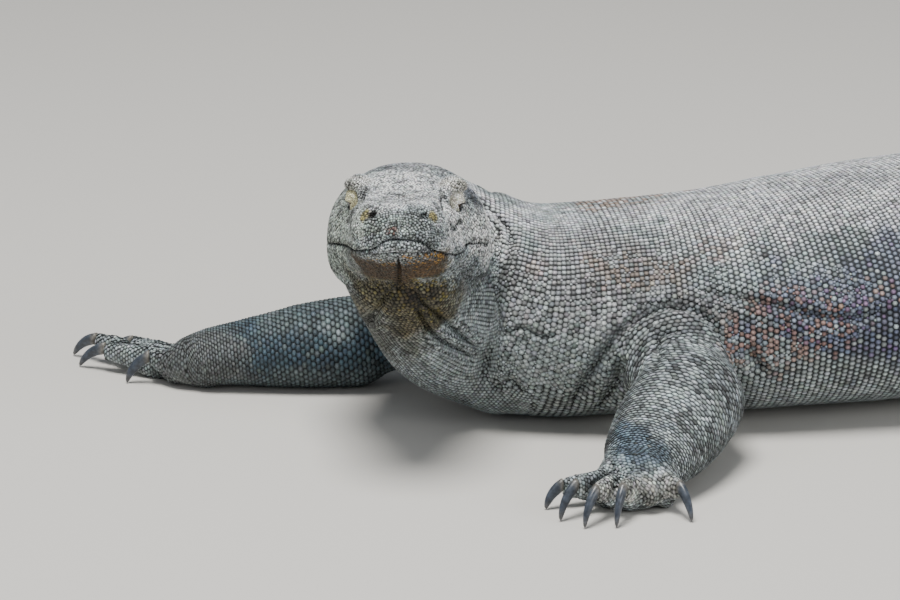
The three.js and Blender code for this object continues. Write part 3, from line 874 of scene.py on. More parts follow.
# Scales stand in rows round each tube. Sizes in millimetres: across the row, along the body, height;
# then how flat and close they lie, from 0 for beads to 1 for plates, and how far their free end lifts
coat = {
    "head": (2.9, 2.6, 0.7, 0.5, 0.0),
    "throat": (3.9, 3.4, 0.75, 0.7, 0.0),
    "scruff": (5.2, 4.9, 1.2, 0.55, 0.0),
    "neck": (4.9, 4.9, 1.2, 0.3, 0.0),
    "trunk": (5.0, 4.7, 1.1, 0.45, 0.0),
    "belly": (5.0, 4.7, 0.8, 1.0, 0.2),
    "tail": (7.0, 6.8, 1.1, 0.7, 0.3),
    "arm": (6.8, 4.3, 1.0, 0.85, 0.9),
    "leg": (7.0, 5.2, 1.05, 0.8, 0.5),
    "palm": (4.8, 2.9, 0.6, 0.9, 0.2),
    "toe": (4.4, 2.9, 0.6, 0.8, 0.1),
    "wrist": (0.62, 0.44),  # shares of a limb's own sizes at the wrist, across the row and along the limb
    "alongBody": [(-440, "neck"), (-330, "neck"), (-200, "trunk"), (330, "trunk"), (640, "tail"),
                  (1680, "tail")],
    "tailTip": (600, 0.45),  # the scales shrink from this x to this share at the end
    "jitter": 0.08,
    "headJitter": 0.3,
    "recount": 0.07,  # how far a row's width may drift before the next row takes another count
    "clear": {"floor": 2.2, "lids": 0.2, "nostril": 4.0, "mouth": 0.9},  # least distances from each
    "reach": (11, 4),  # how far a row may lie from the hide, and how far on a toe
    "bellyBelow": (0.10, 0.16),  # heights in metres between which the belly's plates give way to beads
    "columns": (-235, 90, 150),  # ahead of this x, and above these heights, the neck's rows make columns
    "apart": 0.72,  # the least distance between two scales' roots, as a share of their size
    "gaps": ((0.82, 0.88, 2), (0.74, 0.55, 1)),  # bare from this share of a size, filler's size, turns
    "gapCells": (2.4, 3.8),  # on the head and on the body
    "gapOnHead": 0.12,  # how much sooner the head's hide counts as bare
    "bead": (0.57, 0.36, 0.72),  # half-width at the foot and the shoulder, and the shoulder's height
    "plate": (0.64, 0.53, 0.82),
    "turn": 0.08,  # spreads of a scale's turn, size, brightness and tint
    "unequal": 0.06,
    "bright": 0.24,
    "tint": 0.028,
    "patch": 0.0027,
    "mostInPiece": 7500,
}


# The scale sizes at each ring of a tube, blended along the body and drawn in where the tube is thin.
def scaleSizes(name, run):
    if name == "body":
        x = run[:, 0] / mm
        marks, kinds = zip(*coat["alongBody"])
        sizes = np.stack([np.interp(x, marks, [coat[k][i] for k in kinds]) for i in range(5)], 1)
        start, share = coat["tailTip"]
        sizes[:, :3] *= np.interp(x, [start, marks[-1]], [1, share])[:, None]
        return sizes
    kind = next(k for k in ("head", "throat", "scruff", "palm", "toe", "arm", "leg") if k in name)
    sizes = np.repeat(np.array([coat[kind]], float), len(run), axis=0)
    share = np.linspace(0, 1, len(run))
    if "upper" in name:
        sizes += (np.array(coat["trunk"]) - sizes) * (1 - smoothStep(0.1, 0.8, share))[:, None]
    if "lower" in name:
        sizes[:, 0] *= np.interp(share, [0, 0.4, 1], [1, 1, coat["wrist"][0]])
        sizes[:, 1:3] *= np.interp(share, [0, 0.4, 1], [1, 1, coat["wrist"][1]])[:, None]
    if kind == "head":
        sizes[:, :3] *= np.interp(run[:, 0] / mm, [0, 60, 120, 205], [1.6, 1.25, 1.0, 0.95])[:, None]
    return sizes


# Rows round a tube, a scale's length apart along it. A row of count scales, which is its girth over their
# width, has them at (k + 1/4) / count of the way round, every other row half a scale over.
def rowsOnTube(name, chance):
    run, place = tubes[name]
    rings = tubeRings(name, hide["sides"])
    around = np.roll(rings, -1, 1) - np.roll(rings, 1, 1)
    outward = np.cross(around, np.gradient(rings, axis=0))
    sizes = scaleSizes(name, run)
    steps = np.linalg.norm(np.diff(rings, axis=0), axis=2).mean(1)
    along = np.concatenate([[0], np.cumsum(steps)])
    unrest = coat["headJitter"] if name == "head" else coat["jitter"]
    rows, at = [], 0.5 * sizes[0, 1] * mm
    while at < along[-1]:
        rows.append(at)
        at += np.interp(at, along, sizes[:, 1]) * mm
    roots, spans, marks, count = [], [], [], 1
    for i, s in enumerate(rows):
        j = min(np.searchsorted(along, s, side="right") - 1, len(rings) - 2)
        f = (s - along[j]) / max(along[j + 1] - along[j], 1e-9)
        ring = rings[j] * (1 - f) + rings[j + 1] * f
        loop = np.vstack([ring, ring[:1]])
        length = np.concatenate([[0], np.cumsum(np.linalg.norm(np.diff(loop, axis=0), axis=1))])
        size = sizes[j] * (1 - f) + sizes[j + 1] * f
        ideal = length[-1] / (size[0] * mm)
        if abs(ideal / count - 1) > coat["recount"]:
            count = max(int(round(ideal)), 3)
        share = (np.arange(count) + 0.25) / count
        ahead, floor, ceiling = coat["columns"]
        inColumns = smoothStep(floor, ceiling, np.interp(share * length[-1], length, loop[:, 2]) / mm)
        inColumns = inColumns * (name == "scruff" or (name == "body" and ring[:, 0].mean() < ahead * mm))
        aside = (i % 2 - 0.5) * 0.5 * (1 - inColumns) + unrest * chance.uniform(-1, 1, count)
        share = (share + aside / count) % 1
        where = share * length[-1]
        facing = outward[j] * (1 - f) + outward[j + 1] * f
        both = np.hstack([loop, np.vstack([facing, facing[:1]])])
        roots.append(np.stack([np.interp(where, length, both[:, k]) for k in range(6)], 1))
        spans.append(np.repeat([size], count, axis=0))
        marks.append(np.stack([np.full(count, s / along[-1]), share], 1))
    heading = headingsOf(run)
    heading = heading if place is None else heading @ place[:3, :3].T
    roots, spans, marks = np.vstack(roots), np.vstack(spans), np.vstack(marks)
    ahead = np.stack([np.interp(marks[:, 0] * along[-1], along, heading[:, k]) for k in range(3)], 1)
    drift = unrest * chance.uniform(-0.5, 0.5, len(roots)) * spans[:, 1] * mm
    roots[:, :3] += ahead * drift[:, None]
    return {"root": roots[:, :3], "out": roots[:, 3:], "ahead": ahead, "size": spans, "mark": marks}


# How far points lie outside the balls of the lids.
def eyeGap(points):
    h = placed(points, toHead) / mm
    x, y, z = head["eye"]
    out = np.stack([h[:, 0] - x * headLength, np.abs(h[:, 1]) - y, h[:, 2] - z], 1)
    return (np.linalg.norm(out, axis=1) - lids["radius"]) * mm


# Where scales may stand: off the floor, off the lids, and clear of the nostrils and the slit of the mouth.
def openHide(points):
    own = placed(points, toHead) / mm
    clear = coat["clear"]
    free = (points[:, 2] > clear["floor"] * mm) & (eyeGap(points) > clear["lids"] * mm)
    free &= np.linalg.norm(mirrored(own) - np.array(face["nostril"]), axis=1) > clear["nostril"]
    onHead = np.flatnonzero(own[:, 0] > 0)
    for side, sign in (("left", 1), ("right", -1)):
        far = nearLine(own[onHead], faceCurves["mouth_" + side][0])[0]
        free[onHead[(far < clear["mouth"]) & (sign * own[onHead, 1] > -2)]] = False
    return free


# Keeps the points that land on the hide's own surface and stand clear of the scales already placed.
def settle(rows, tree, placedTree, reach):
    found = [tree.find_nearest(Vector(p), reach) for p in rows["root"]]
    hit = np.array([f[0] is not None for f in found])
    spot = np.array([f[0][:] if f[0] is not None else (0, 0, 0) for f in found])
    normal = softNormals[firstPoint[[f[2] or 0 for f in found]]]
    out = rows["out"] / np.linalg.norm(rows["out"], axis=1)[:, None]
    keep = hit & ((normal * out).sum(1) > 0.25) & openHide(spot)
    if placedTree is not None:
        gap = np.array([placedTree.find(Vector(p))[2] for p in spot])
        keep &= gap > coat["apart"] * rows["size"][:, :2].mean(1) * mm
    kept = {key: value[keep] for key, value in rows.items()}
    kept["root"], kept["out"] = spot[keep], normal[keep]
    return kept


# Points sorted for finding the nearest.
def treeOfPoints(points):
    made = KDTree(len(points))
    for i, p in enumerate(points):
        made.insert(p, i)
    made.balance()
    return made


# Several groups of scales made one, array by array.
def together(parts):
    return {key: np.concatenate([p[key] for p in parts]) for key in parts[0]}


# Puts smaller scales on bare hide, first good ones and then grains: the barest point of each cell, cells
# of one parity at a time, so that no two meet.
def fillGaps(rows, chance):
    hidePoints = pointsOf(skin.data)
    free = openHide(hidePoints)
    onHead = placed(hidePoints[free], toHead)[:, 0] > 0.005
    for limit, shrink, turns in coat["gaps"]:
        spots, normals = hidePoints[free], softNormals[free]
        cells = np.where(onHead, *coat["gapCells"])[:, None] * mm
        limits = limit - coat["gapOnHead"] * onHead
        for turn in range(turns):
            for corner in np.ndindex(2, 2, 2):
                tree = treeOfPoints(rows["root"])
                found = [tree.find(Vector(p))[1:] for p in spots]
                near = np.array([f[0] for f in found])
                gap = np.array([f[1] for f in found]) / (rows["size"][near][:, :2].mean(1) * mm)
                bare = gap > limits
                if not bare.any():
                    break
                spots, normals, cells, limits = spots[bare], normals[bare], cells[bare], limits[bare]
                near, gap = near[bare], gap[bare]
                key = np.floor(spots / cells + 0.5 * turn).astype(np.int64)
                order = np.argsort(-gap, kind="stable")
                order = order[(key[order] % 2 == np.array(corner)).all(1)]
                order = order[np.unique(key[order], axis=0, return_index=True)[1]]
                extra = {name: value[near[order]].copy() for name, value in rows.items()}
                extra["root"], extra["out"] = spots[order], normals[order]
                extra["size"][:, :3] *= shrink
                extra["mark"] = extra["mark"] + chance.uniform(-0.004, 0.004, (len(order), 2))
                rows = together([rows, extra])
        print("  gaps filled with scales of", shrink, "size:", len(rows["root"]))
    return rows


# The rows of each tube in turn, each clear of those before it, then the gaps.
def placeScales():
    chance = np.random.default_rng(4)
    order = ["head"]
    for kind in ("toe", "lower", "palm", "upper"):
        order += [n for n in tubes if kind in n]
    order += ["throat", "body", "scruff"]
    kept, placedTree = [], None
    for name in order:
        reach = coat["reach"]["toe" in name] * mm
        rows = settle(rowsOnTube(name, chance), tree, placedTree, reach)
        rows["tube"] = np.full(len(rows["root"]), order.index(name))
        kept.append(rows)
        placedTree = treeOfPoints(together(kept)["root"])
    rows = together(kept)
    print("scales in rows:", len(rows["root"]))
    return fillGaps(rows, chance), order


tree = treeOf(skin.data)
softNormals = softened(skin.data)
firstPoint = np.array([p.vertices[0] for p in skin.data.polygons])
scales, tubeOrder = placeScales()


# One scale: a six-sided dome on a buried foot, as a bead or as a plate.
# Columns: across, along, height, and how high up it is from 0 to 1.
def scaleForm(foot, shoulder, rise):
    angle = 2 * math.pi * (np.arange(6) + 0.5) / 6
    across, along = np.cos(angle), np.sin(angle)
    low = np.stack([foot * across, foot * along, np.full(6, -0.4), np.zeros(6)], 1)
    high = np.stack([shoulder * across, shoulder * along, np.full(6, rise), np.full(6, 0.6)], 1)
    return np.vstack([low, high, [[0, 0, 1, 1]]])


# Its faces: walls from foot to shoulder, a fan to the top, and a flat underside.
def scaleFaces():
    j = np.arange(6)
    k = (j + 1) % 6
    walls = np.vstack([np.stack([j, k, k + 6], 1), np.stack([j, k + 6, j + 6], 1)])
    top = np.stack([j + 6, k + 6, np.full(6, 12)], 1)
    under = np.array([[0, 5, 4], [0, 4, 3], [0, 3, 2], [0, 2, 1]])
    return np.vstack([walls, top, under])


# Each scale is the form carried to its root: across and along the hide by its size, and up by its height.
def scalePiece(name, rows, chance, uvOrigin, material, tone):
    bead, plate, faces = scaleForm(*coat["bead"]), scaleForm(*coat["plate"]), scaleFaces()
    count, corners = len(rows["root"]), len(bead)
    out = rows["out"]
    along = rows["ahead"] - (rows["ahead"] * out).sum(1)[:, None] * out
    along /= np.maximum(np.linalg.norm(along, axis=1), 1e-9)[:, None]
    across = np.cross(along, out)
    turn = chance.normal(0, coat["turn"], count)[:, None]
    cos, sin = np.cos(turn), np.sin(turn)
    across, along = across * cos + along * sin, along * cos - across * sin
    size = rows["size"][:, :3] * mm * (1 + chance.normal(0, coat["unequal"], (count, 1)))
    flat = rows["size"][:, 3, None, None]
    lift = rows["size"][:, 4, None, None] * mm
    shape = bead * (1 - flat) + plate * flat
    points = (
        rows["root"][:, None]
        + shape[..., 0:1] * (size[:, 0:1] * across)[:, None]
        + shape[..., 1:2] * (1.1 * size[:, 1:2] * along)[:, None]
        + (shape[..., 2:3] * size[:, None, 2:3] + lift * (shape[..., 1:2] - 0.3)) * out[:, None]
    )
    points = np.clip(points.reshape(-1, 3), cadLow, cadHigh)
    allFaces = (faces[None] + (np.arange(count) * corners)[:, None, None]).reshape(-1, 3)
    made = meshFrom(name, points, allFaces)
    tone = tone * (1 + chance.normal(0, coat["bright"], (count, 1)))
    tone = tone * (1 + chance.normal(0, coat["tint"], (count, 3)))
    addTone(made.data, np.repeat(tone, corners, 0))
    # how high up each point of a scale is, which sets the painted shade at its foot and the painted
    # highlight at its top
    carry(made.data, "rise", np.tile(bead[:, 3], count))
    corner = (uvOrigin[:, None] + coat["patch"] * bead[None, :, :2]).reshape(-1, 2)
    layer = made.data.uv_layers.new(name="OFBake")
    layer.data.foreach_set("uv", corner[allFaces.ravel()].astype(np.float32).ravel())
    made.data.materials.append(material)
    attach(made, "root")
    return made


# Gives each point of a mesh its colour.
def addTone(mesh, tone):
    color = mesh.color_attributes.new("hideTone", "FLOAT_COLOR", "POINT")
    rgba = np.hstack([np.clip(tone, 0.003, 1), np.ones((len(tone), 1))])
    color.data.foreach_set("color", rgba.astype(np.float32).ravel())


# Gives each point of a mesh a number under a name.
def carry(mesh, name, values):
    made = mesh.attributes.new(name, "FLOAT", "POINT")
    made.data.foreach_set("value", np.asarray(values, np.float32))


# A material, its net of nodes, and the sockets of its shader.
def newMaterial(name):
    material = bpy.data.materials.new(name)
    material.use_nodes = True
    net = material.node_tree
    return material, net, net.nodes["Principled BSDF"].inputs


# A node whose sockets and settings are given by name.
def node(net, kind, **values):
    made = net.nodes.new(kind)
    for key, value in values.items():
        if key in made.inputs:
            made.inputs[key].default_value = value
        else:
            setattr(made, key, value)
    return made


# What a mesh carries under a name.
def carried(net, name, output="Fac"):
    return node(net, "ShaderNodeAttribute", attribute_name=name).outputs[output]


# A texture that lies still on its object.
def texture(net, kind, output, **values):
    made = node(net, kind, **values)
    net.links.new(node(net, "ShaderNodeTexCoord").outputs["Object"], made.inputs["Vector"])
    return made.outputs[output]


# Two colours multiplied.
def multiplied(net, first, second):
    mix = node(net, "ShaderNodeMix", data_type="RGBA", blend_type="MULTIPLY")
    mix.inputs[0].default_value = 1
    net.links.new(first, mix.inputs[6])
    net.links.new(second, mix.inputs[7])
    return mix.outputs[2]


# A value turned into a colour, along straight lines between stops; a stop's one number stands for a grey.
def ramp(net, value, stops):
    made = node(net, "ShaderNodeValToRGB")
    while len(made.color_ramp.elements) < len(stops):
        made.color_ramp.elements.new(0.5)
    for element, (at, color) in zip(made.color_ramp.elements, stops):
        element.position = at
        element.color = (*color, 1) if isinstance(color, tuple) else (color, color, color, 1)
    net.links.new(value, made.inputs[0])
    return made.outputs[0]


# Small relief by a height, its strength and its depth in metres.
def addBump(net, shader, height, strength, depth, sunk=False):
    bump = node(net, "ShaderNodeBump", Strength=strength, Distance=depth, invert=sunk)
    net.links.new(height, bump.inputs["Height"])
    net.links.new(bump.outputs["Normal"], shader["Normal"])


# The scales' tone times a painted shade, darkest at their feet between the scales, that turns to a painted
# highlight at their tops, times a fine dust that also dulls them.
def scaleMaterial():
    material, net, shader = newMaterial("scaleHorn")
    # painted shade low on each scale and a painted highlight on its top, by how high up the point is
    paintedShadeAndHighlight = ramp(net, carried(net, "rise"), [(0.0, 0.06), (0.6, 0.46), (0.85, 1.0), (1.0, 1.5)])
    dust = texture(net, "ShaderNodeTexNoise", "Fac", Scale=900.0, Detail=3.0)
    grains = ramp(net, dust, [(0.3, (0.72, 0.70, 0.68)), (0.65, (1.12, 1.12, 1.1))])
    base = multiplied(net, multiplied(net, carried(net, "hideTone", "Color"), paintedShadeAndHighlight), grains)
    net.links.new(base, shader["Base Color"])
    net.links.new(ramp(net, dust, [(0.3, 0.5), (0.7, 0.78)]), shader["Roughness"])
    addBump(net, shader, dust, 0.25, 0.0004)
    return material


# The hide's tone times a painted shade: the hide between the scales is kept dark, as shade, and darker still
# towards the edges of small cells, which are sunk there too.
def hideMaterial():
    material, net, shader = newMaterial("hideBetweenScales")
    cells = texture(net, "ShaderNodeTexVoronoi", "Distance", Scale=650.0)
    # painted shade over all the hide between the scales, deepest at the cells' edges
    shade = ramp(net, cells, [(0.0, (0.17, 0.165, 0.16)), (0.7, 0.06)])
    net.links.new(multiplied(net, carried(net, "hideTone", "Color"), shade), shader["Base Color"])
    shader["Roughness"].default_value = 0.8
    addBump(net, shader, cells, 0.6, 0.0006, sunk=True)
    return material


coatMaterial = scaleMaterial()


# Beads give way to flat plates under the body, by its height, which counts as more behind the shoulders.
def flattenBelly():
    height = scales["root"][:, 2] + 0.1 * smoothStep(-0.3, -0.1, scales["root"][:, 0])
    low = (scales["tube"] == tubeOrder.index("body")) * (1 - smoothStep(*coat["bellyBelow"], height))
    scales["size"] += low[:, None] * (np.array(coat["belly"]) - scales["size"]) * [0, 0, 1, 1, 1]


# Spreads the coat over pieces by tube, each cut along it into parts of about as many scales. A scale's
# place on the map is its share along its tube by its share round it, one strip for each tube.
def addCoat():
    chance = np.random.default_rng(9)
    scales["grain"] = chance.uniform(0, 1, len(scales["root"]))
    flattenBelly()
    groups = {"head": ["head"], "neck": ["throat", "scruff"], "trunk": ["body"]}
    for limb in limbs:
        groups[limb] = [n for n in tubeOrder if n.startswith(limb)]
    share = scales["mark"][:, 0]
    for group, names in groups.items():
        strips = [tubeOrder.index(n) for n in names]
        mask = np.isin(scales["tube"], strips)
        parts = int(mask.sum() // coat["mostInPiece"]) + 1
        cuts = np.quantile(share[mask], np.linspace(0, 1, parts + 1))
        for i in range(parts):
            part = mask & (share >= cuts[i]) & ((share < cuts[i + 1]) | (i == parts - 1))
            rows = {key: value[part] for key, value in scales.items()}
            strip = sum(k * (rows["tube"] == number) for k, number in enumerate(strips))
            along, around = rows["mark"].T
            u = 0.01 + 0.98 * (along - along.min()) / (along.max() - along.min() + 1e-9)
            v = (strip + 0.02 + 0.96 * around) / len(names)
            tone = toneOf(rows["root"], rows["grain"])
            name = "scales_" + (group if parts == 1 else f"{group}_{i + 1}")
            piece = scalePiece(name, rows, chance, np.stack([u, v], 1), coatMaterial, tone)
            print("  ", name, len(rows["root"]), "scales", len(piece.data.polygons), "faces")


addCoat()
print("coat laid")


# Thins the hide to fewer points where it is flat, then gives it the scales' own tones.
def finishSkin():
    modifier = skin.modifiers.new("lighter", "DECIMATE")
    modifier.ratio = min(1.0, hide["finishedPoints"] / len(skin.data.vertices))
    mesh = appliedMesh(skin)
    skin.modifiers.clear()
    skin.data = mesh
    points = pointsOf(mesh)
    addTone(mesh, toneOf(points, np.full(len(points), 0.5)))
    mesh.materials.append(hideMaterial())


finishSkin()
print("hide finished:", len(skin.data.polygons), "faces")
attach(skin, "root")
skinNodes = [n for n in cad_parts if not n.startswith(("eye", "claw"))]
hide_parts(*skinNodes)


# The frame of an eye: forward along the line through its corners, out through the slit, up across it.
def lidFrame(side):
    tilt = math.radians(lids["tilt"])
    out = np.array([0, side * math.cos(tilt), math.sin(tilt)])
    up = np.array([0, -side * math.sin(tilt), math.cos(tilt)])
    x, y, z = head["eye"]
    return np.array([1.0, 0, 0]), out, up, np.array([x * headLength, side * y, z])


# How far the slit stands open at each angle from its front corner: half a wave from corner to corner.
def lidGape(polar):
    first, last = (math.radians(a) for a in lids["corners"])
    return np.sin(math.pi * np.clip((polar - first) / (last - first), 0, 1))


# Points on the lids by the angle from the line through the corners and the angle about it, counted from
# the slit: a ball with waves for wrinkles that run along the slit, and a roll at its rim.
def lidPoints(side, polar, turn):
    near = np.minimum(turn % (2 * math.pi), -turn % (2 * math.pi))
    waves = np.sin(9 * near**0.8 + 1.5 * np.sin(3 * polar)) + 0.6 * np.sin(13 * polar + 2.5 * near)
    rim = bell(near - math.radians(lids["above"]), 0.2) * np.minimum(1, 3 * lidGape(polar))
    radius = lids["radius"] + lids["wrinkle"] * waves * smoothStep(0.3, 0.8, near) + 0.5 * rim
    forward, out, up, centre = lidFrame(side)
    way = np.cos(polar)[..., None] * forward + np.sin(polar)[..., None] * (
        np.cos(turn)[..., None] * out + np.sin(turn)[..., None] * up
    )
    return centre + radius[..., None] * way, way


# Both lids in one: a grid of lid points from the slit's upper edge over the back to its lower edge.
def addLids(name, side, color):
    polar = np.linspace(0, math.pi, 72)[1:-1, None]
    start = math.radians(lids["above"]) * lidGape(polar)
    end = 2 * math.pi - math.radians(lids["below"]) * lidGape(polar)
    turn = start + (end - start) * np.linspace(0, 1, 84)
    grid = lidPoints(side, polar + 0 * turn, turn)[0]
    count, wide = grid.shape[:2]
    forward, _, _, centre = lidFrame(side)
    poles = centre + np.array([1, -1])[:, None] * lids["radius"] * forward
    points = np.vstack([grid.reshape(-1, 3), poles])
    i = np.arange(count - 1)[:, None] * wide
    j = np.arange(wide - 1)
    quads = np.stack([i + j, i + wide + j, i + wide + j + 1, i + j + 1], -1).reshape(-1, 4)
    last = (count - 1) * wide
    fans = np.vstack([
        np.stack([np.full(wide - 1, count * wide), j, j + 1], 1),
        np.stack([np.full(wide - 1, count * wide + 1), last + j + 1, last + j], 1),
    ])
    if side < 0:
        quads, fans = quads[:, ::-1], fans[:, ::-1]
    made = meshFrom(name, placed(points * mm, toRow), quads, fans)
    # how near each point is to the rim of the slit, which sets the painted shade there
    near = np.minimum(turn, 2 * math.pi - turn) + 3 * (1 - np.minimum(1, 3 * lidGape(polar)))
    carry(made.data, "rimGap", np.concatenate([np.clip(near.ravel(), 0, 1), [1, 1]]))
    wall = made.modifiers.new("wall", "SOLIDIFY")
    wall.thickness = lids["wall"] * mm
    wall.offset = -1
    made.data.materials.append(lidMaterial(name, color))
    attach(made, "root")


# Small grains stand on the lids in rings round the line through the corners, clear of the slit.
def addLidGrains(name, side, color, chance):
    spots = []
    for i, p in enumerate(np.arange(0.12, math.pi - 0.3, lids["grain"][1] / lids["radius"])):
        count = max(int(2 * math.pi * math.sin(p) * lids["radius"] / lids["grain"][0]), 3)
        turn = 2 * math.pi * (np.arange(count) + 0.5 * (i % 2)) / count
        spots.append(np.stack([np.full(count, p), turn], 1))
    polar, turn = np.vstack(spots).T
    near = np.minimum(turn, 2 * math.pi - turn)
    clear = near > math.radians(lids["above"]) * lidGape(polar) + 0.08
    polar, turn = polar[clear] + chance.uniform(-0.03, 0.03, clear.sum()), turn[clear]
    points, way = lidPoints(side, polar, turn)
    aside = lidPoints(side, polar + 0.01, turn)[0] - points
    around = lidPoints(side, polar, turn + 0.01)[0] - points
    out = np.cross(aside, around)
    out *= np.sign((out * way).sum(1))[:, None] / np.linalg.norm(out, axis=1)[:, None]
    spin = toRow[:3, :3].T
    rows = {
        "root": placed(points * mm, toRow), "out": out @ spin, "ahead": aside @ spin,
        "size": np.repeat([np.array(lids["grain"])], len(points), 0),
    }
    uv = np.stack([polar / math.pi, turn / (2 * math.pi) % 1], 1) * 0.96 + 0.02
    blotch = 1 + 0.45 * latticeNoise(rows["root"], 0.005, 21)
    scalePiece("grains_" + name, rows, chance, uv, coatMaterial, np.array(color) * blotch[:, None])


# The lids' colour, darker towards the edges of small creases, and nearly black at the rim of the slit, a
# painted shade there.
def lidMaterial(name, color):
    material, net, shader = newMaterial(name + "Skin")
    creases = texture(net, "ShaderNodeTexVoronoi", "Distance", Scale=900.0)
    base = ramp(net, creases, [(0.15, color), (0.75, tuple(0.45 * c for c in color))])
    # painted shade at the rim of the slit
    shade = ramp(net, carried(net, "rimGap"), [(0.3, (0.03, 0.025, 0.02)), (0.5, 1)])
    net.links.new(multiplied(net, base, shade), shader["Base Color"])
    shader["Roughness"].default_value = 0.6
    addBump(net, shader, creases, 0.5, 0.0005, sunk=True)
    return material


eyeball = {
    "slack": 0.5,  # how much smaller it is than the node it replaces
    "forward": 0.1,  # how far it looks ahead rather than aside
    "colors": [  # from the middle of the pupil, as a share of half a turn
        (0.0, 0.004), (0.10, 0.004), (0.12, (0.045, 0.02, 0.007)), (0.22, (0.022, 0.01, 0.005)),
        (0.26, (0.006, 0.005, 0.005)),
    ],
    "rings": 23,
    "sides": 32,
}


# The eyeball is a ball in rings about the line of sight: centre + radius * (cos a * out + sin a * (cos b *
# ahead + sin b * up)). It carries the angle from that line, which colours a dark pupil and a brown ring.
def addEye(name, side):
    count, sides = eyeball["rings"], eyeball["sides"]
    x, y, z = head["eye"]
    a = np.linspace(0, math.pi, count + 2)[1:-1, None]
    b = (2 * math.pi * np.arange(sides) / sides)[None]
    radius = head["eyeRadius"] - eyeball["slack"]
    tilt = math.radians(lids["tilt"])
    out = np.array([eyeball["forward"], side * math.cos(tilt), math.sin(tilt)])
    out /= np.linalg.norm(out)
    ahead = np.cross(out, np.cross([1.0, 0, 0], out))
    up = np.cross(ahead, out)
    centre = np.array([x * headLength, side * y, z])
    rings = centre + radius * (
        np.cos(a)[..., None] * out + (np.sin(a) * np.cos(b))[..., None] * ahead
        + (np.sin(a) * np.sin(b))[..., None] * up
    )
    points, quads, fans = closedGrid(rings)
    made = meshFrom("eyeball_" + name, placed(points * mm, toRow), quads[:, ::-1], fans[:, ::-1])
    carry(made.data, "gaze", np.concatenate([np.repeat(a.ravel(), sides), [0, math.pi]]) / math.pi)
    material, net, shader = newMaterial(name + "EyeWet")
    net.links.new(ramp(net, carried(net, "gaze"), eyeball["colors"]), shader["Base Color"])
    shader["Roughness"].default_value = 0.08
    made.data.materials.append(material)
    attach(made, "root")
    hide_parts("eye_" + name)


horn = {
    "steps": 16,
    "sides": 16,
    "tip": 0.04,  # the size at the point, as a share of the claw's, and how much more there is at the root
    "taper": 0.94,
    "colors": [  # from the root to the point
        (0.0, (0.16, 0.15, 0.13)), (0.18, (0.05, 0.06, 0.075)), (0.7, (0.035, 0.045, 0.065)), (1.0, 0.12),
    ],
    "mottle": [(0.35, 0.6), (0.7, 1.5)],
    "roughness": 0.33,
}


# The claws' colour runs from root to point, times a fine mottle that also gives a faint relief.
def hornMaterial():
    material, net, shader = newMaterial("clawHornDark")
    base = ramp(net, carried(net, "reach"), horn["colors"])
    grain = texture(net, "ShaderNodeTexNoise", "Fac", Scale=260.0, Detail=4.0)
    net.links.new(multiplied(net, base, ramp(net, grain, horn["mottle"])), shader["Base Color"])
    shader["Roughness"].default_value = horn["roughness"]
    addBump(net, shader, grain, 0.2, 0.0005)
    return material


# A claw's rings, x ahead and z up: ovals along an arc that bends down at an even rate, their size falling
# with the root of what is left, each leaning with the arc.
def clawRings(rise, length):
    steps, sides = horn["steps"], horn["sides"]
    t = np.arange(steps + 1)[:, None] / steps
    angle = (2 * math.pi * np.arange(sides) / sides)[None]
    bend = clawCurve(rise, length)[0] + claw["curl"] * t
    middle = bend[:-1] + claw["curl"] / steps / 2
    x = claw["gap"] + np.vstack([[[0]], np.cumsum(length / steps * np.cos(middle), 0)])
    z = np.vstack([[[0]], -np.cumsum(length / steps * np.sin(middle), 0)])
    taper = horn["tip"] + horn["taper"] * np.sqrt(1 - t)
    lean = bend * np.minimum(1, 2.5 * t)
    high = claw["deep"] * taper * np.sin(angle) * np.where(np.sin(angle) > 0, 1, 0.92)
    wide = claw["wide"] * taper * np.cos(angle)
    return np.stack([x + high * np.sin(lean), wide + 0 * x, z + high * np.cos(lean)], -1), t.ravel()


# Each claw is turned to its toe's direction and set at the toe's end.
def addClaws():
    material = hornMaterial()
    for limb in limbs.values():
        ankle = limb["joints"][2]
        for i, (direction, tip, rise, length) in enumerate(limb["toes"]):
            rings, t = clawRings(rise, length)
            root = tip - clawCurve(rise, length)[1]
            at = np.array([*awayFrom(ankle, direction, root), rise])
            rings = (rings @ uprightTurn(direction).T + at) * mm
            points, quads, fans = closedGrid(np.clip(rings, cadLow, cadHigh))
            name = f"{limb['nodes'][3]}_{i + 1}"
            made = meshFrom("horn_" + name, points, quads, fans)
            carry(made.data, "reach", np.concatenate([np.repeat(t, horn["sides"]), [0, 1]]))
            made.data.materials.append(material)
            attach(made, "root")
            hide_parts(name)


for side, word in ((1, "left"), (-1, "right")):
    addEye(word, side)
    tint = lids["colors"][word]
    addLids("lids_" + word, side, tint)
    addLidGrains("lids_" + word, side, tint, np.random.default_rng(30 + side))
addClaws()
print("eyes, lids and claws made")


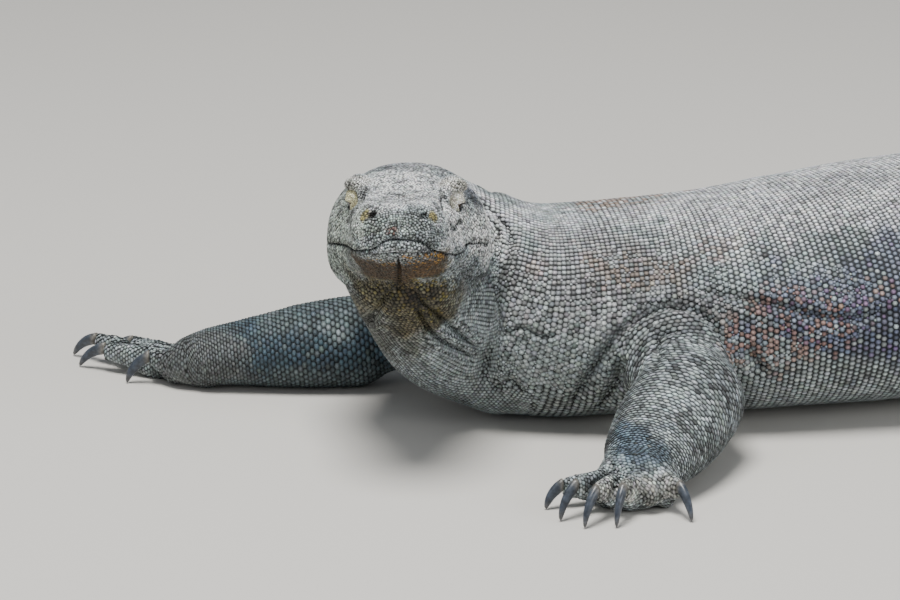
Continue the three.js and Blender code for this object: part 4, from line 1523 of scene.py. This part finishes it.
# Camera, floor and lights
studio = {
    "cameraAt": (-2.0564, -3.9685, 1.5215),
    "lookAlong": (0.3563, 0.8818, -0.3090),
    "lens": 200,
    "sensor": 36,
    "floorHalf": 30,
    "floorColor": (0.62, 0.60, 0.56, 1),
    "floorRoughness": 0.9,
    "skyColor": (0.80, 0.86, 0.95, 1),
    "skyStrength": 0.30,
    "lights": [  # name, place, the point it faces, size, power, colour
        ("overhead", (-0.9, -0.5, 3.4), (-0.3, 0, 0.1), 1.5, 178, (1, 0.99, 0.97)),
        ("fromLeft", (-3.2, -1.6, 1.6), (-0.4, 0, 0.15), 1.4, 12, (1, 1, 1)),
        ("fromRight", (1.9, -3.2, 1.5), (-0.3, 0, 0.12), 2.0, 54, (1, 1, 1)),
    ],
}


# Puts a camera or a light in the scene, with its back axis turned away from a direction and its Y axis up.
def aimed(name, data, at, direction):
    made = bpy.data.objects.new(name, data)
    bpy.context.scene.collection.objects.link(made)
    made.location = at
    made.rotation_mode = "QUATERNION"
    made.rotation_quaternion = Vector(direction).to_track_quat("-Z", "Y")
    return made


# The camera looks along one direction through a long lens.
def addCamera():
    data = bpy.data.cameras.new("viewer")
    data.lens = studio["lens"]
    data.sensor_width = studio["sensor"]
    data.clip_start = 0.1
    data.clip_end = 100
    bpy.context.scene.camera = aimed("viewer", data, studio["cameraAt"], studio["lookAlong"])


# A round soft light: its direction is the point it faces less its own place.
def addLight(name, at, towards, size, power, color):
    data = bpy.data.lights.new(name, "AREA")
    data.shape = "DISK"
    data.size = size
    data.energy = power
    data.color = color
    aimed(name, data, at, Vector(towards) - Vector(at))


# A flat square, four corners at the same distance from the middle along x and y.
def addFloor():
    corners = studio["floorHalf"] * np.array([[-1, -1, 0], [1, -1, 0], [1, 1, 0], [-1, 1, 0]], float)
    floor = meshFrom("floor", corners, np.array([[0, 1, 2, 3]]))
    material, _, shader = newMaterial("paleFloor")
    shader["Base Color"].default_value = studio["floorColor"]
    shader["Roughness"].default_value = studio["floorRoughness"]
    floor.data.materials.append(material)
    floor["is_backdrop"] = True


# One even light from all round.
def addSky():
    world = bpy.data.worlds.new("studio")
    bpy.context.scene.world = world
    world.use_nodes = True
    sky = world.node_tree.nodes["Background"].inputs
    sky["Color"].default_value = studio["skyColor"]
    sky["Strength"].default_value = studio["skyStrength"]


addFloor()
addSky()
addCamera()
for light in studio["lights"]:
    addLight(*light)
print("floor, camera and lights set")

low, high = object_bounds()
